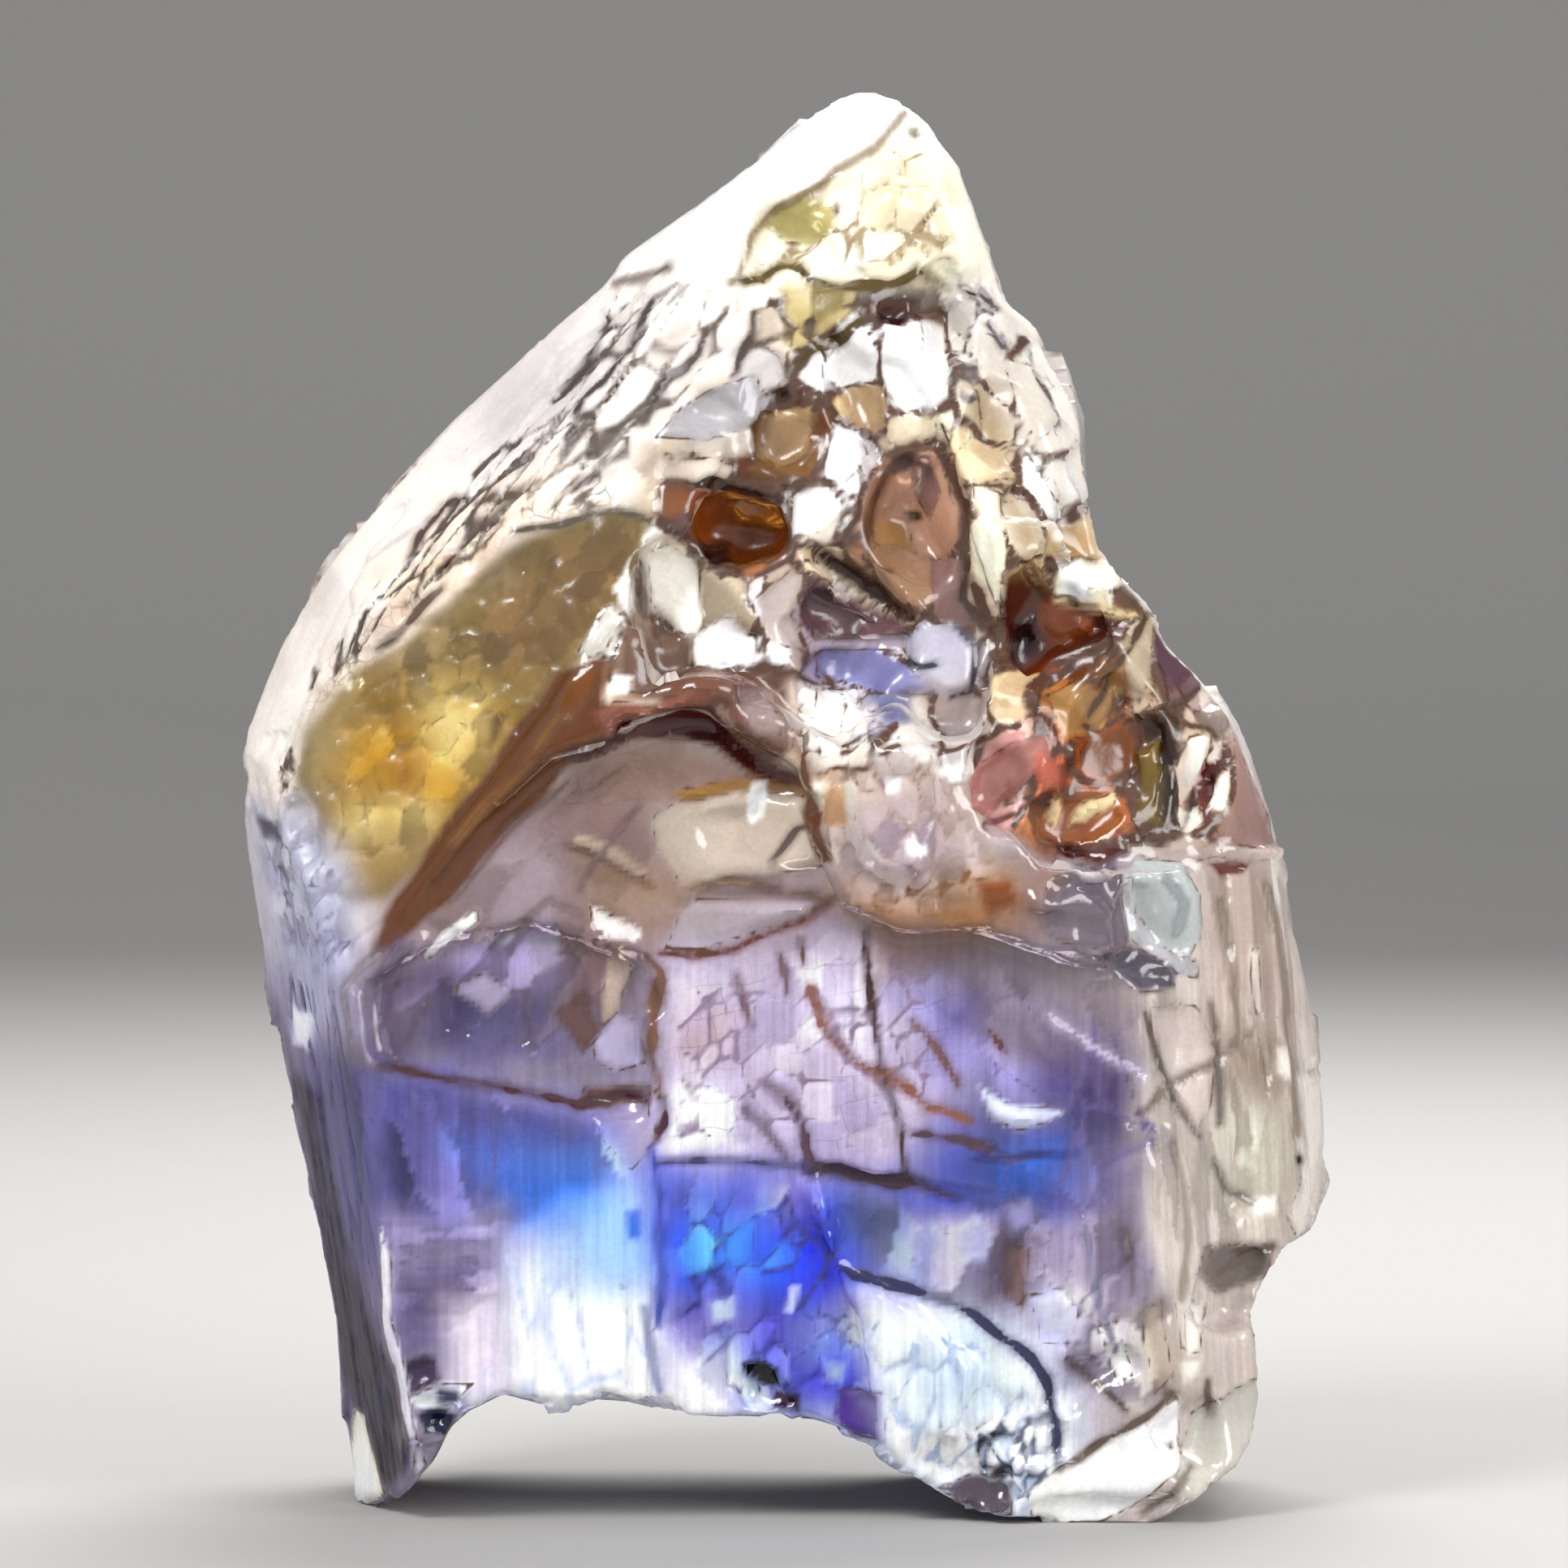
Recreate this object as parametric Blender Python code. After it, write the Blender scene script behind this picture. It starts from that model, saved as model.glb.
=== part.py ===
# Rough tanzanite crystal: one natural piece, broken off its matrix, standing upright.
# The crystal stands on the foot of a thin left blade and on the underside of its right lobe.
# +X is to the right, the front looks towards -Y, +Z is up. Sizes below are in millimetres.

import math
import random

import bpy
import bmesh
from mathutils import Euler, Matrix, Vector
from mathutils.bvhtree import BVHTree

MM = 0.001

# Driving dimensions
FRONT_Y = -5.3
BACK_Y = 5.5
RECESS_Y = -4.55
RECESS_NORMAL = (0.02, -1.0, 0.03)
RECESS_POINT = (0.0, RECESS_Y, 7.0)
SLAB_SINK = 0.22

# Chips whose half size passes this get finer facets; corners move by this share of the radius
FINE_FACET_SIZE = 1.45
FACET_SHAKE = 0.16

# Front outline, counter-clockwise as seen from the front, as (x, z)
SPIKE = [
    (-7.40, 0.00), (-7.92, 0.00), (-8.08, 1.42), (-8.31, 3.57), (-8.77, 5.80), (-9.24, 8.02),
    (-9.76, 10.99), (-10.02, 12.60), (-10.02, 12.95), (-9.88, 13.33),
]
ETCHED_SLOPE = [
    (-9.92, 14.18), (-9.69, 14.77), (-9.25, 15.81), (-9.00, 16.26), (-8.37, 17.29), (-7.43, 18.44),
    (-6.14, 19.89), (-4.55, 21.37), (-3.14, 22.53), (-2.98, 22.86), (-1.97, 23.57), (-0.50, 24.64),
    (0.24, 25.35), (1.05, 25.91), (1.57, 26.00),
]
RIGHT_SLOPE = [
    (2.09, 25.82), (2.61, 25.41), (3.20, 24.52), (3.50, 23.52), (3.75, 22.93), (4.03, 22.14),
    (4.61, 21.67), (5.18, 20.33), (5.35, 19.74), (5.50, 18.41), (5.68, 17.66), (6.02, 17.15),
    (6.69, 16.48), (6.99, 15.74), (7.43, 15.35), (8.02, 14.62), (8.54, 13.66), (9.06, 12.33),
    (9.33, 11.70),
]
RIGHT_SIDE = [
    (9.40, 10.99), (9.88, 8.17), (10.07, 6.47), (9.97, 5.73), (9.60, 5.03), (9.14, 4.84),
    (8.78, 4.32), (8.50, 3.69), (8.59, 2.83), (8.68, 2.09), (8.54, 1.50), (8.17, 0.98),
    (7.43, 0.42), (6.69, 0.00),
]
UNDERSIDE = [
    (4.91, 0.00), (3.28, 0.22), (2.54, 0.68), (1.79, 1.28), (1.20, 1.62), (0.46, 1.94),
    (-2.06, 1.93), (-3.69, 2.06), (-4.58, 2.30), (-5.10, 2.39), (-5.62, 2.12), (-6.07, 1.72),
    (-6.36, 1.13), (-6.88, 0.42),
]

# Lower edge of the proud upper mass: golden slab, overhanging ledge, broken rim on the right
LEDGE = [
    (-8.60, 9.20), (-7.89, 10.03), (-6.66, 11.14), (-5.47, 12.62), (-4.14, 13.81), (-2.80, 14.18),
    (-1.62, 14.55), (-0.58, 14.25), (0.24, 13.59), (0.61, 12.30), (1.05, 11.20), (2.09, 10.69),
    (3.43, 10.77), (4.76, 10.32), (6.39, 9.63), (7.58, 9.21), (10.80, 7.90),
]

# The clear slab left of the ledge, a window sunk a little below the etched slope
SLAB = [
    (-8.35, 10.20), (-7.30, 10.85), (-5.75, 12.75), (-4.60, 14.30), (-3.20, 16.30), (-2.55, 17.60),
    (-2.75, 18.25), (-4.73, 17.75), (-6.07, 16.55), (-7.95, 15.60), (-8.75, 14.10), (-9.15, 12.60),
]

# Big crystal faces: outward normal and a point on the face, (x, y, z)
FACES = {
    "front prism": ((0.02, -1.00, 0.03), (0.0, FRONT_Y, 9.0)),
    "front rise": ((0.05, -0.95, 0.29), (0.5, FRONT_Y + 0.10, 14.2)),
    "golden slab": ((-0.33, -0.93, 0.13), (-4.3, FRONT_Y + 0.15, 13.6)),
    "left prism": ((-0.92, -0.36, -0.14), (-7.25, -4.75, 4.8)),
    "left back prism": ((-0.72, 0.68, -0.12), (-8.6, 3.0, 8.0)),
    "etched slope": ((-0.60, -0.50, 0.62), (-4.55, -1.0, 21.37)),
    "etched shoulder": ((-0.80, -0.47, 0.36), (-9.25, -1.1, 15.81)),
    "back left slope": ((-0.55, 0.60, 0.58), (-4.55, 1.4, 21.37)),
    "back shoulder": ((-0.78, 0.52, 0.34), (-9.25, 1.4, 15.81)),
    "right front prism": ((0.62, -0.77, 0.08), (6.3, -4.75, 6.0)),
    "right prism": ((0.955, -0.27, 0.10), (9.35, -1.7, 8.0)),
    "right back prism": ((0.78, 0.62, 0.05), (8.6, 3.3, 7.0)),
    "right front slope": ((0.74, -0.56, 0.38), (5.35, -1.5, 19.74)),
    "right back slope": ((0.72, 0.56, 0.42), (5.35, 1.4, 19.74)),
    "back prism left": ((-0.26, 0.965, 0.02), (-1.6, BACK_Y, 7.0)),
    "back prism right": ((0.24, 0.97, -0.03), (-1.6, BACK_Y, 7.0)),
    "back rise": ((0.10, 0.93, 0.34), (-0.6, BACK_Y - 0.2, 12.8)),
    "peak front": ((0.10, -0.80, 0.60), (1.6, -1.35, 25.0)),
    "peak back": ((0.20, 0.75, 0.63), (1.6, 1.0, 25.2)),
    "lower back": ((0.12, 0.90, -0.42), (0.0, BACK_Y - 0.5, 4.0)),
}

# Flat-floored breaks of the front: outline (x, z), outward normal of the floor, depth of its middle
FRONT_BREAKS = {
    "centre hollow": (
        [(-2.75, 16.40), (-2.35, 15.25), (-0.30, 14.70), (1.40, 13.90), (3.40, 14.30), (3.90, 16.00),
         (3.15, 19.00), (2.20, 21.00), (0.60, 21.30), (-0.60, 20.80), (-1.25, 18.90), (-1.95, 17.60)],
        (0.12, -1.0, 0.10), 0.85,
    ),
    "right hollow": (
        [(3.75, 17.20), (3.80, 15.50), (3.45, 13.20), (4.60, 11.90), (7.00, 11.70), (9.60, 12.00),
         (8.60, 14.60), (7.20, 16.30), (5.90, 17.90)],
        (0.42, -1.0, 0.08), 0.80,
    ),
    "rim above": (
        [(0.90, 21.60), (2.45, 20.40), (3.55, 18.10), (6.20, 18.00), (5.60, 20.60), (4.30, 22.80),
         (2.40, 22.40), (0.70, 22.45)],
        (0.40, -1.0, 0.42), 0.42,
    ),
    "yellow window": (
        [(-0.75, 22.60), (0.30, 22.35), (1.10, 22.50), (2.20, 23.40), (1.90, 24.60), (0.60, 24.20),
         (-0.30, 23.50)],
        (-0.20, -1.0, 0.52), 0.30,
    ),
    "right of the vertical step": (
        [(-2.45, 7.10), (-2.50, 0.50), (1.80, 0.50), (1.40, 3.40), (0.80, 5.00), (-0.20, 7.00)],
        (0.06, -1.0, -0.05), 0.30,
    ),
    "facets over the left ledge": (
        [(-7.60, 9.70), (-7.45, 8.45), (-6.66, 8.17), (-5.47, 7.99), (-3.99, 7.58), (-2.60, 7.30),
         (-2.30, 8.60), (-2.90, 10.20), (-4.60, 10.90), (-6.50, 10.40)],
        (0.02, -1.0, 0.10), 0.32,
    ),
    "step under the brick band": (
        [(0.60, 6.50), (1.00, 4.60), (2.30, 3.90), (3.40, 2.80), (3.10, 1.10), (6.10, 1.20),
         (5.90, 5.70)],
        (-0.06, -1.0, -0.04), 0.24,
    ),
}

# Flat-floored breaks of the back, same columns
BACK_FLOORS = {
    "back step upper": (
        [(-3.20, 22.20), (-2.00, 17.00), (0.50, 15.20), (4.00, 16.20), (5.60, 19.00), (3.60, 23.80),
         (0.50, 25.00)],
        (0.25, 1.0, 0.45), 0.75,
    ),
    "back step left": (
        [(-10.50, 14.00), (-9.80, 9.00), (-6.00, 9.60), (-4.60, 12.20), (-3.80, 17.40),
         (-7.20, 19.20)],
        (-0.55, 1.0, 0.15), 0.60,
    ),
    "back step low": (
        [(-9.20, 5.00), (-9.00, -1.00), (0.50, -1.00), (6.00, 1.50), (4.80, 7.20), (1.50, 6.60),
         (-2.00, 8.80), (-6.50, 7.50)],
        (0.05, 1.0, -0.30), 0.70,
    ),
    "back step right": (
        [(5.20, 12.50), (6.20, 7.00), (8.00, 4.00), (10.60, 5.00), (10.40, 11.00)],
        (0.62, 1.0, 0.0), 0.60,
    ),
}

# Chips out of the front: centre (x, z), half width and height, bite into the face, turn in degrees
FRONT_CHIPS = {
    "brown hollow": ((-0.80, 18.05), (1.10, 0.85), 1.00, 12),
    "tan facet": ((0.24, 19.60), (1.20, 1.05), 0.60, 30),
    "grey facet": ((-1.25, 20.15), (1.10, 0.70), 0.45, 35),
    "white facet": ((1.35, 20.10), (0.75, 1.80), 0.50, -8),
    "tan brown facet": ((2.35, 18.25), (1.00, 1.50), 0.85, -12),
    "dark slit": ((1.45, 16.95), (1.30, 0.42), 1.10, 35),
    "dark mauve facet": ((1.20, 15.85), (1.50, 1.40), 0.80, -15),
    "pale facet upper": ((-1.95, 16.75), (0.95, 1.35), 0.50, 10),
    "pale facet lower": ((-0.95, 15.80), (0.95, 0.95), 0.50, 0),
    "amber hollow": ((5.00, 16.15), (1.60, 1.45), 0.95, -20),
    "brown round hollow": ((6.20, 14.10), (1.35, 1.95), 0.80, 5),
    "pink hollow": ((4.10, 13.45), (1.15, 1.05), 0.55, 20),
    "orange hollow": ((5.45, 12.60), (1.20, 1.10), 0.60, 0),
    "pinkish pocket": ((7.60, 13.30), (0.80, 1.35), 0.55, 10),
    "white strip": ((3.60, 17.50), (0.55, 1.70), 0.50, -6),
    "groove to the right": ((1.00, 21.45), (1.60, 0.32), 0.55, 38),
    "groove under the peak": ((0.80, 22.45), (1.90, 0.30), 0.50, -2),
    "yellow facet": ((0.25, 23.35), (0.95, 0.75), 0.35, 10),
    "peak facet": ((1.90, 23.70), (0.85, 1.30), 0.35, -10),
    "rim facet upper": ((3.05, 21.90), (0.95, 1.30), 0.45, -25),
    "rim facet middle": ((4.15, 19.90), (1.00, 1.60), 0.45, -18),
    "shoulder facet": ((5.60, 17.90), (1.00, 1.10), 0.50, -25),
    "beige lens": ((-0.85, 12.35), (2.00, 1.35), 0.40, 5),
    "left white sliver": ((-6.10, 10.70), (0.95, 0.45), 0.30, 40),
    "middle white sliver": ((-3.10, 10.85), (0.70, 0.45), 0.28, 35),
    "mauve facet left": ((-4.60, 9.40), (1.30, 0.95), 0.35, 25),
    "mauve facet right": ((-2.90, 9.60), (0.95, 1.20), 0.35, -20),
    "lens on the right": ((6.99, 10.80), (1.20, 1.30), 0.38, 0),
    "slate facet": ((5.55, 9.90), (1.40, 0.62), 0.34, 12),
    "left corner pit": ((-9.05, 12.50), (0.95, 1.20), 0.40, 0),
    "foot chip": ((-6.20, 1.95), (0.80, 0.90), 0.45, 0),
    "dark notch": ((-0.45, 2.45), (0.60, 0.50), 0.55, 20),
    "lobe chip left": ((3.10, 1.00), (1.60, 0.95), 0.55, 15),
    "lobe facet": ((5.40, 2.60), (1.50, 0.95), 0.35, -20),
    "lobe chip right": ((7.60, 1.60), (1.20, 1.30), 0.60, -30),
    "lower right dent": ((8.30, 4.20), (1.10, 1.20), 0.60, 0),
    "right side dent": ((8.60, 6.40), (0.75, 1.80), 0.30, 5),
}

# Chips out of the back, same columns
BACK_CHIPS = {
    "back upper scoop": ((2.20, 19.00), (2.70, 3.10), 0.90, 18),
    "back middle scoop": ((0.60, 12.20), (3.90, 2.60), 0.85, -10),
    "back left scoop": ((-5.40, 14.20), (2.60, 2.30), 0.80, -25),
    "back right scoop": ((6.20, 9.20), (2.00, 3.60), 0.70, 8),
    "back low scoop": ((-4.40, 5.60), (2.80, 3.00), 0.80, 12),
    "back low scoop right": ((3.40, 3.90), (3.00, 2.30), 0.70, -15),
    "back peak chip": ((0.90, 23.40), (1.40, 1.70), 0.60, -20),
    "back rim chip": ((-3.40, 20.30), (1.70, 1.30), 0.55, -40),
    "back left pit": ((-8.10, 8.60), (1.20, 2.20), 0.50, 0),
    "back shoulder chip": ((6.60, 14.60), (1.70, 1.50), 0.70, 30),
    "back spike chip": ((-7.30, 2.60), (1.40, 2.60), 0.90, 5),
    "back lobe chip": ((7.00, 2.20), (1.80, 1.50), 0.80, -20),
}

# Breaks that reach under the crystal: centre (x, y, z), half sizes, turn in degrees
UNDER_BREAKS = {
    "arch rises behind": ((-1.80, 3.0, 0.95), (4.20, 3.2, 2.10), 4),
    "arch front chip": ((-3.40, -4.0, 1.55), (1.80, 1.4, 1.00), -6),
    "arch middle chip": ((0.40, -1.2, 1.20), (2.40, 2.1, 1.20), 8),
    "spike back": ((-7.60, 4.8, 1.20), (1.80, 2.8, 3.00), 0),
    "spike front": ((-6.50, -5.1, 0.60), (1.00, 1.3, 1.30), 0),
    "lobe front edge": ((5.80, -5.5, -0.30), (3.00, 1.4, 1.20), -4),
    "lobe right edge": ((9.40, 0.8, 0.20), (1.60, 2.8, 1.20), -20),
    "lobe back edge": ((5.60, 5.1, 0.10), (3.60, 2.3, 1.90), 6),
    "lobe left edge": ((2.90, 0.6, 0.10), (1.30, 2.6, 1.00), 10),
}

# Lumps that stand out of the front: centre (x, z), half width and height, how proud, turn
LUMPS = {
    "beige column": ((2.02, 12.85), (1.50, 2.05), 0.90, 0),
    "column head": ((1.75, 14.40), (1.05, 0.90), 0.35, 0),
    "ledge lip": ((-2.05, 14.75), (1.70, 0.50), 0.28, -8),
    "ledge lip right": ((-0.35, 14.45), (1.00, 0.50), 0.30, 25),
    "right knuckle": ((5.00, 11.35), (1.35, 0.65), 0.40, 12),
    "brown knot": ((-2.35, 8.95), (0.45, 0.90), 0.20, 0),
    "brow over the hollow": ((-0.60, 18.95), (1.15, 0.40), 0.25, -20),
    "ridge of the hollow": ((2.10, 16.60), (1.00, 0.35), 0.40, 40),
    "rim crystal": ((7.15, 12.05), (0.65, 0.50), 0.30, 0),
}


def crystal_material():
    """Glassy violet-blue zoisite, plain here."""
    material = bpy.data.materials.new("tanzanite")
    material.use_nodes = True
    shader = material.node_tree.nodes["Principled BSDF"]
    shader.inputs["Base Color"].default_value = (0.42, 0.38, 0.62, 1.0)
    shader.inputs["Roughness"].default_value = 0.25
    shader.inputs["Metallic"].default_value = 0.0
    return material


def clear_scene():
    for old in list(bpy.data.objects):
        bpy.data.objects.remove(old, do_unlink=True)


def add_object(name, mesh_data):
    """Turn a bmesh in millimetres into an object in metres."""
    bmesh.ops.scale(mesh_data, vec=(MM, MM, MM), verts=mesh_data.verts)
    bmesh.ops.recalc_face_normals(mesh_data, faces=mesh_data.faces)
    mesh = bpy.data.meshes.new(name)
    mesh_data.to_mesh(mesh)
    mesh_data.free()
    item = bpy.data.objects.new(name, mesh)
    bpy.context.scene.collection.objects.link(item)
    return item


def plane_y(normal, point, x, z):
    """Where a slanting plane lies in depth at (x, z)."""
    along = normal[0] * (x - point[0]) + normal[2] * (z - point[2])
    return point[1] - along / normal[1]


def extruded_outline(outline, normal, point, y_near, flare=1.0):
    """A closed solid from a front outline down to a slanting floor.

    Flare widens its near end about the outline's middle.
    """
    solid = bmesh.new()
    corners = [solid.verts.new((x, plane_y(normal, point, x, z), z)) for x, z in outline]
    face = solid.faces.new(corners)
    middle = face.calc_center_median()
    grown = bmesh.ops.extrude_face_region(solid, geom=[face])
    near = [part for part in grown["geom"] if isinstance(part, bmesh.types.BMVert)]
    for vert in near:
        vert.co.y = y_near
    about = Matrix.Translation(-middle)
    bmesh.ops.scale(solid, vec=(flare, 1.0, flare), space=about, verts=near)
    return solid


def cut_face(solid, normal, point):
    """Grow one flat crystal face: everything outside its plane goes."""
    geometry = solid.verts[:] + solid.edges[:] + solid.faces[:]
    bmesh.ops.bisect_plane(
        solid, geom=geometry, plane_co=point, plane_no=Vector(normal).normalized(), clear_outer=True
    )
    rim = [edge for edge in solid.edges if edge.is_boundary]
    if rim:
        bmesh.ops.contextual_create(solid, geom=rim)


def crystal_body():
    """The leaning prism with its slanting top, inside the front outline."""
    outline = SPIKE + ETCHED_SLOPE + RIGHT_SLOPE + RIGHT_SIDE + UNDERSIDE
    behind = BACK_Y + 2.0
    solid = extruded_outline(outline, (0, 1, 0), (0, behind, 0), FRONT_Y - 2.0)
    for normal, point in FACES.values():
        cut_face(solid, normal, point)
    bmesh.ops.dissolve_degenerate(solid, dist=0.0005, edges=solid.edges[:])
    bmesh.ops.triangulate(solid, faces=solid.faces[:])
    return add_object("tanzanite_crystal", solid)


def faceted_lump(name, centre, half_sizes, turn):
    """A rough ellipsoid of flat facets, each corner moved a little."""
    solid = bmesh.new()
    detail = 2 if max(half_sizes) > FINE_FACET_SIZE else 1
    bmesh.ops.create_icosphere(solid, subdivisions=detail, radius=1.0)
    shake = random.Random(name)
    for vert in solid.verts:
        vert.co *= 1.0 + shake.uniform(-FACET_SHAKE, FACET_SHAKE)
    bmesh.ops.scale(solid, vec=half_sizes, verts=solid.verts)
    tilt = Euler((math.radians(shake.uniform(-12, 12)), math.radians(turn), 0.0)).to_matrix()
    bmesh.ops.rotate(solid, cent=(0, 0, 0), matrix=tilt, verts=solid.verts)
    bmesh.ops.translate(solid, vec=centre, verts=solid.verts)
    return add_object(name, solid)


def hide_tool(tool):
    tool.hide_render = True
    tool.display_type = 'WIRE'


def combine(body, tool, operation):
    modifier = body.modifiers.new(tool.name, 'BOOLEAN')
    modifier.operation = operation
    modifier.solver = 'EXACT'
    modifier.object = tool
    hide_tool(tool)


def skin_depth(tree, x, z, side):
    """Depth of the crystal's front (side -1) or back (side +1) at (x, z)."""
    start = Vector((x * MM, side * 0.05, z * MM))
    hit = tree.ray_cast(start, Vector((0.0, -side, 0.0)))[0]
    return hit.y / MM


def add_chips(body, chips, side, operation):
    """Faceted chips or lumps that lie on the skin of one side."""
    tree = skin_tree(body)
    for name, ((x, z), (half_width, half_height), reach, turn) in chips.items():
        half_depth = max(half_width, half_height, reach)
        inwards = half_depth - reach if operation == 'DIFFERENCE' else reach - half_depth
        y = skin_depth(tree, x, z, side) + side * inwards
        lump = faceted_lump(name, (x, y, z), (half_width, half_depth, half_height), turn)
        combine(body, lump, operation)


def recess_below_ledge():
    """The lower front is set back, so the upper mass stands proud with a sloping riser."""
    low = LEDGE + [(10.80, -4.0), (-8.60, -4.0)]
    solid = extruded_outline(low, RECESS_NORMAL, RECESS_POINT, FRONT_Y - 1.5, 1.045)
    return add_object("recess below ledge", solid)


def sunken_slab():
    """The clear slab's smooth face, parallel to its crystal face."""
    normal, point = FACES["golden slab"]
    floor = (point[0], point[1] + SLAB_SINK, point[2])
    solid = extruded_outline(SLAB, normal, floor, FRONT_Y - 1.5, 1.02)
    return add_object("sunken slab", solid)


def add_breaks(body, breaks, side):
    """Cut flat-floored breaks into one side, each to its own depth below the skin."""
    tree = skin_tree(body)
    outside = FRONT_Y - 1.5 if side < 0 else BACK_Y + 1.5
    for name, (outline, normal, depth) in breaks.items():
        middle_x = sum(x for x, z in outline) / len(outline)
        middle_z = sum(z for x, z in outline) / len(outline)
        floor_y = skin_depth(tree, middle_x, middle_z, side) - side * depth
        floor = (middle_x, floor_y, middle_z)
        solid = extruded_outline(outline, normal, floor, outside, 1.04)
        combine(body, add_object(name, solid), 'DIFFERENCE')


def skin_tree(body):
    bpy.context.view_layer.update()
    return BVHTree.FromObject(body, bpy.context.evaluated_depsgraph_get())


def stand_at_origin(body):
    """Put the middle of the crystal's box over the origin, with its feet at height zero."""
    bpy.context.view_layer.update()
    shape = body.evaluated_get(bpy.context.evaluated_depsgraph_get())
    corners = [Vector(corner) for corner in shape.bound_box]
    middle = (corners[0] + corners[6]) / 2.0
    for item in bpy.context.scene.objects:
        item.location = (-middle.x, -middle.y, -corners[0].z)


def build():
    clear_scene()
    body = crystal_body()
    body.data.materials.append(crystal_material())
    combine(body, recess_below_ledge(), 'DIFFERENCE')
    combine(body, sunken_slab(), 'DIFFERENCE')
    add_breaks(body, FRONT_BREAKS, -1)
    add_breaks(body, BACK_FLOORS, 1)
    add_chips(body, LUMPS, -1, 'UNION')
    add_chips(body, FRONT_CHIPS, -1, 'DIFFERENCE')
    add_chips(body, BACK_CHIPS, 1, 'DIFFERENCE')
    for name, (centre, half_sizes, turn) in UNDER_BREAKS.items():
        combine(body, faceted_lump(name, centre, half_sizes, turn), 'DIFFERENCE')
    stand_at_origin(body)


build()
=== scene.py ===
"""Rough tanzanite: a broken, etched natural crystal, see-through, violet-blue low down and golden above."""

import math
from itertools import product

import bmesh
import bpy
import numpy as np
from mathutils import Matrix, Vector
from mathutils.bvhtree import BVHTree


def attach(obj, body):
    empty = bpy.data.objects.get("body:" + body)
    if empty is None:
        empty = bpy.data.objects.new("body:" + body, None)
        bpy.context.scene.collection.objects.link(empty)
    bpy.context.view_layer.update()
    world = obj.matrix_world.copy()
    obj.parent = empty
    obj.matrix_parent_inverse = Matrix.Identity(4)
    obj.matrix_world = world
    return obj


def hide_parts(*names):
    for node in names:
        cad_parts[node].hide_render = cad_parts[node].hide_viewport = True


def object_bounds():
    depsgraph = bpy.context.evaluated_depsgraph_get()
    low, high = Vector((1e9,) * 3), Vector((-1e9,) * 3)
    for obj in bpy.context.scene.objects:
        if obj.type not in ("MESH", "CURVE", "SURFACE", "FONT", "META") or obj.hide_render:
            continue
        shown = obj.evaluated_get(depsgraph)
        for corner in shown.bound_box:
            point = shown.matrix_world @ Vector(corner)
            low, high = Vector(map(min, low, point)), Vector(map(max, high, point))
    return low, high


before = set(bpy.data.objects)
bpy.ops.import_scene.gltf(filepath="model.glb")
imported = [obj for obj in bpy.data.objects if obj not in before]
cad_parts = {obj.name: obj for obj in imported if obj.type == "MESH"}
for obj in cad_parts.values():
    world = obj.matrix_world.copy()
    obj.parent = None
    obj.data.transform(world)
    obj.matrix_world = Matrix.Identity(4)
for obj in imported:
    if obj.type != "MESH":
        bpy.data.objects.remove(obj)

bl_info = {
    "name": "Rough tanzanite crystal",
    "version": (1, 0, 0),
    "blender": (4, 5, 0),
    "location": "3D View > Sidebar > Tanzanite",
    "description": "Dresses the rough tanzanite crystal and sets it on a plain stage",
    "category": "Object",
}

CAD_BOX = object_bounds()
NODE = "tanzanite_crystal"
BODY = "root"
MM = 0.001

# The photograph's frame, in pixels, and the crystal's place in it
PHOTO_SIZE = 1932
PHOTO_HEIGHT_OF_CRYSTAL = 1753
PHOTO_ORIGIN_U = 969
PHOTO_MIDDLE = "966,966"
PHOTO_FLOOR_V = 1861

CRYSTAL_HEIGHT = (CAD_BOX[1][2] - CAD_BOX[0][2]) / MM
MM_PER_PIXEL = CRYSTAL_HEIGHT / PHOTO_HEIGHT_OF_CRYSTAL

# The crystal's long axis leans to the left as it rises; the prism faces are grooved along it
LONG_AXIS = np.array([-0.166, 0.0, 0.986])
LEAN = math.atan2(0.166, 0.986)

# Colour zones of the whole body: name, hex, softness in pixels, outline. Outlines and courses are written
# as "across,down across,down" in the photograph's pixels.
BODY_ZONES = (
    ("grey violet body", "BDB3C4", 60, "100,0 1800,0 1800,1932 100,1932"),
    ("pale top", "EFE8DC", 160, "100,0 1800,0 1800,900 1300,1000 500,1060 100,1000"),
    ("mauve middle", "AC9C9E", 90, "280,1040 1660,1040 1660,1200 280,1220"),
    ("violet middle", "A49CAC", 110, "280,1230 1340,1180 1380,1400 280,1420"),
    ("blue band", "5C68D4", 80, "420,1380 1320,1370 1340,1500 1080,1600 640,1590 420,1520"),
    ("icy foot", "D6DDF2", 90, "560,1600 1340,1600 1340,1900 560,1900"),
    ("right flank", "DDD2CA", 80, "1400,1060 1680,1060 1680,1900 1340,1900 1380,1500"),
    ("left flank", "584E6C", 60, "300,1240 470,1320 520,1900 380,1900"),
    ("etched slope", "EAE2DC", 40, "280,1010 300,880 380,700 640,400 760,320 900,300 925,420 850,520 "
     "750,640 600,690 440,830 380,900 370,1000 420,1100 320,1150"),
    ("smooth peak flank", "F0ECEA", 12, "740,350 860,240 940,180 1000,100 1130,90 1112,135 1075,182 "
     "1012,228 945,262 918,300 905,345 840,330"),
    ("broken centre", "D8C2A8", 34, "800,560 900,480 980,420 1080,400 1200,480 1240,640 1230,860 "
     "1000,960 860,850 760,850 780,700"),
    ("right rim", "E6DED8", 30, "1140,380 1250,360 1330,500 1350,680 1260,690 1210,560"),
)

# Colour of the parts that the photograph doesn't show
BACK_STAIN = "C09A72"
BACK_FROST = "EAE4DF"
BACK_VEIN = "8A7670"

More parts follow.
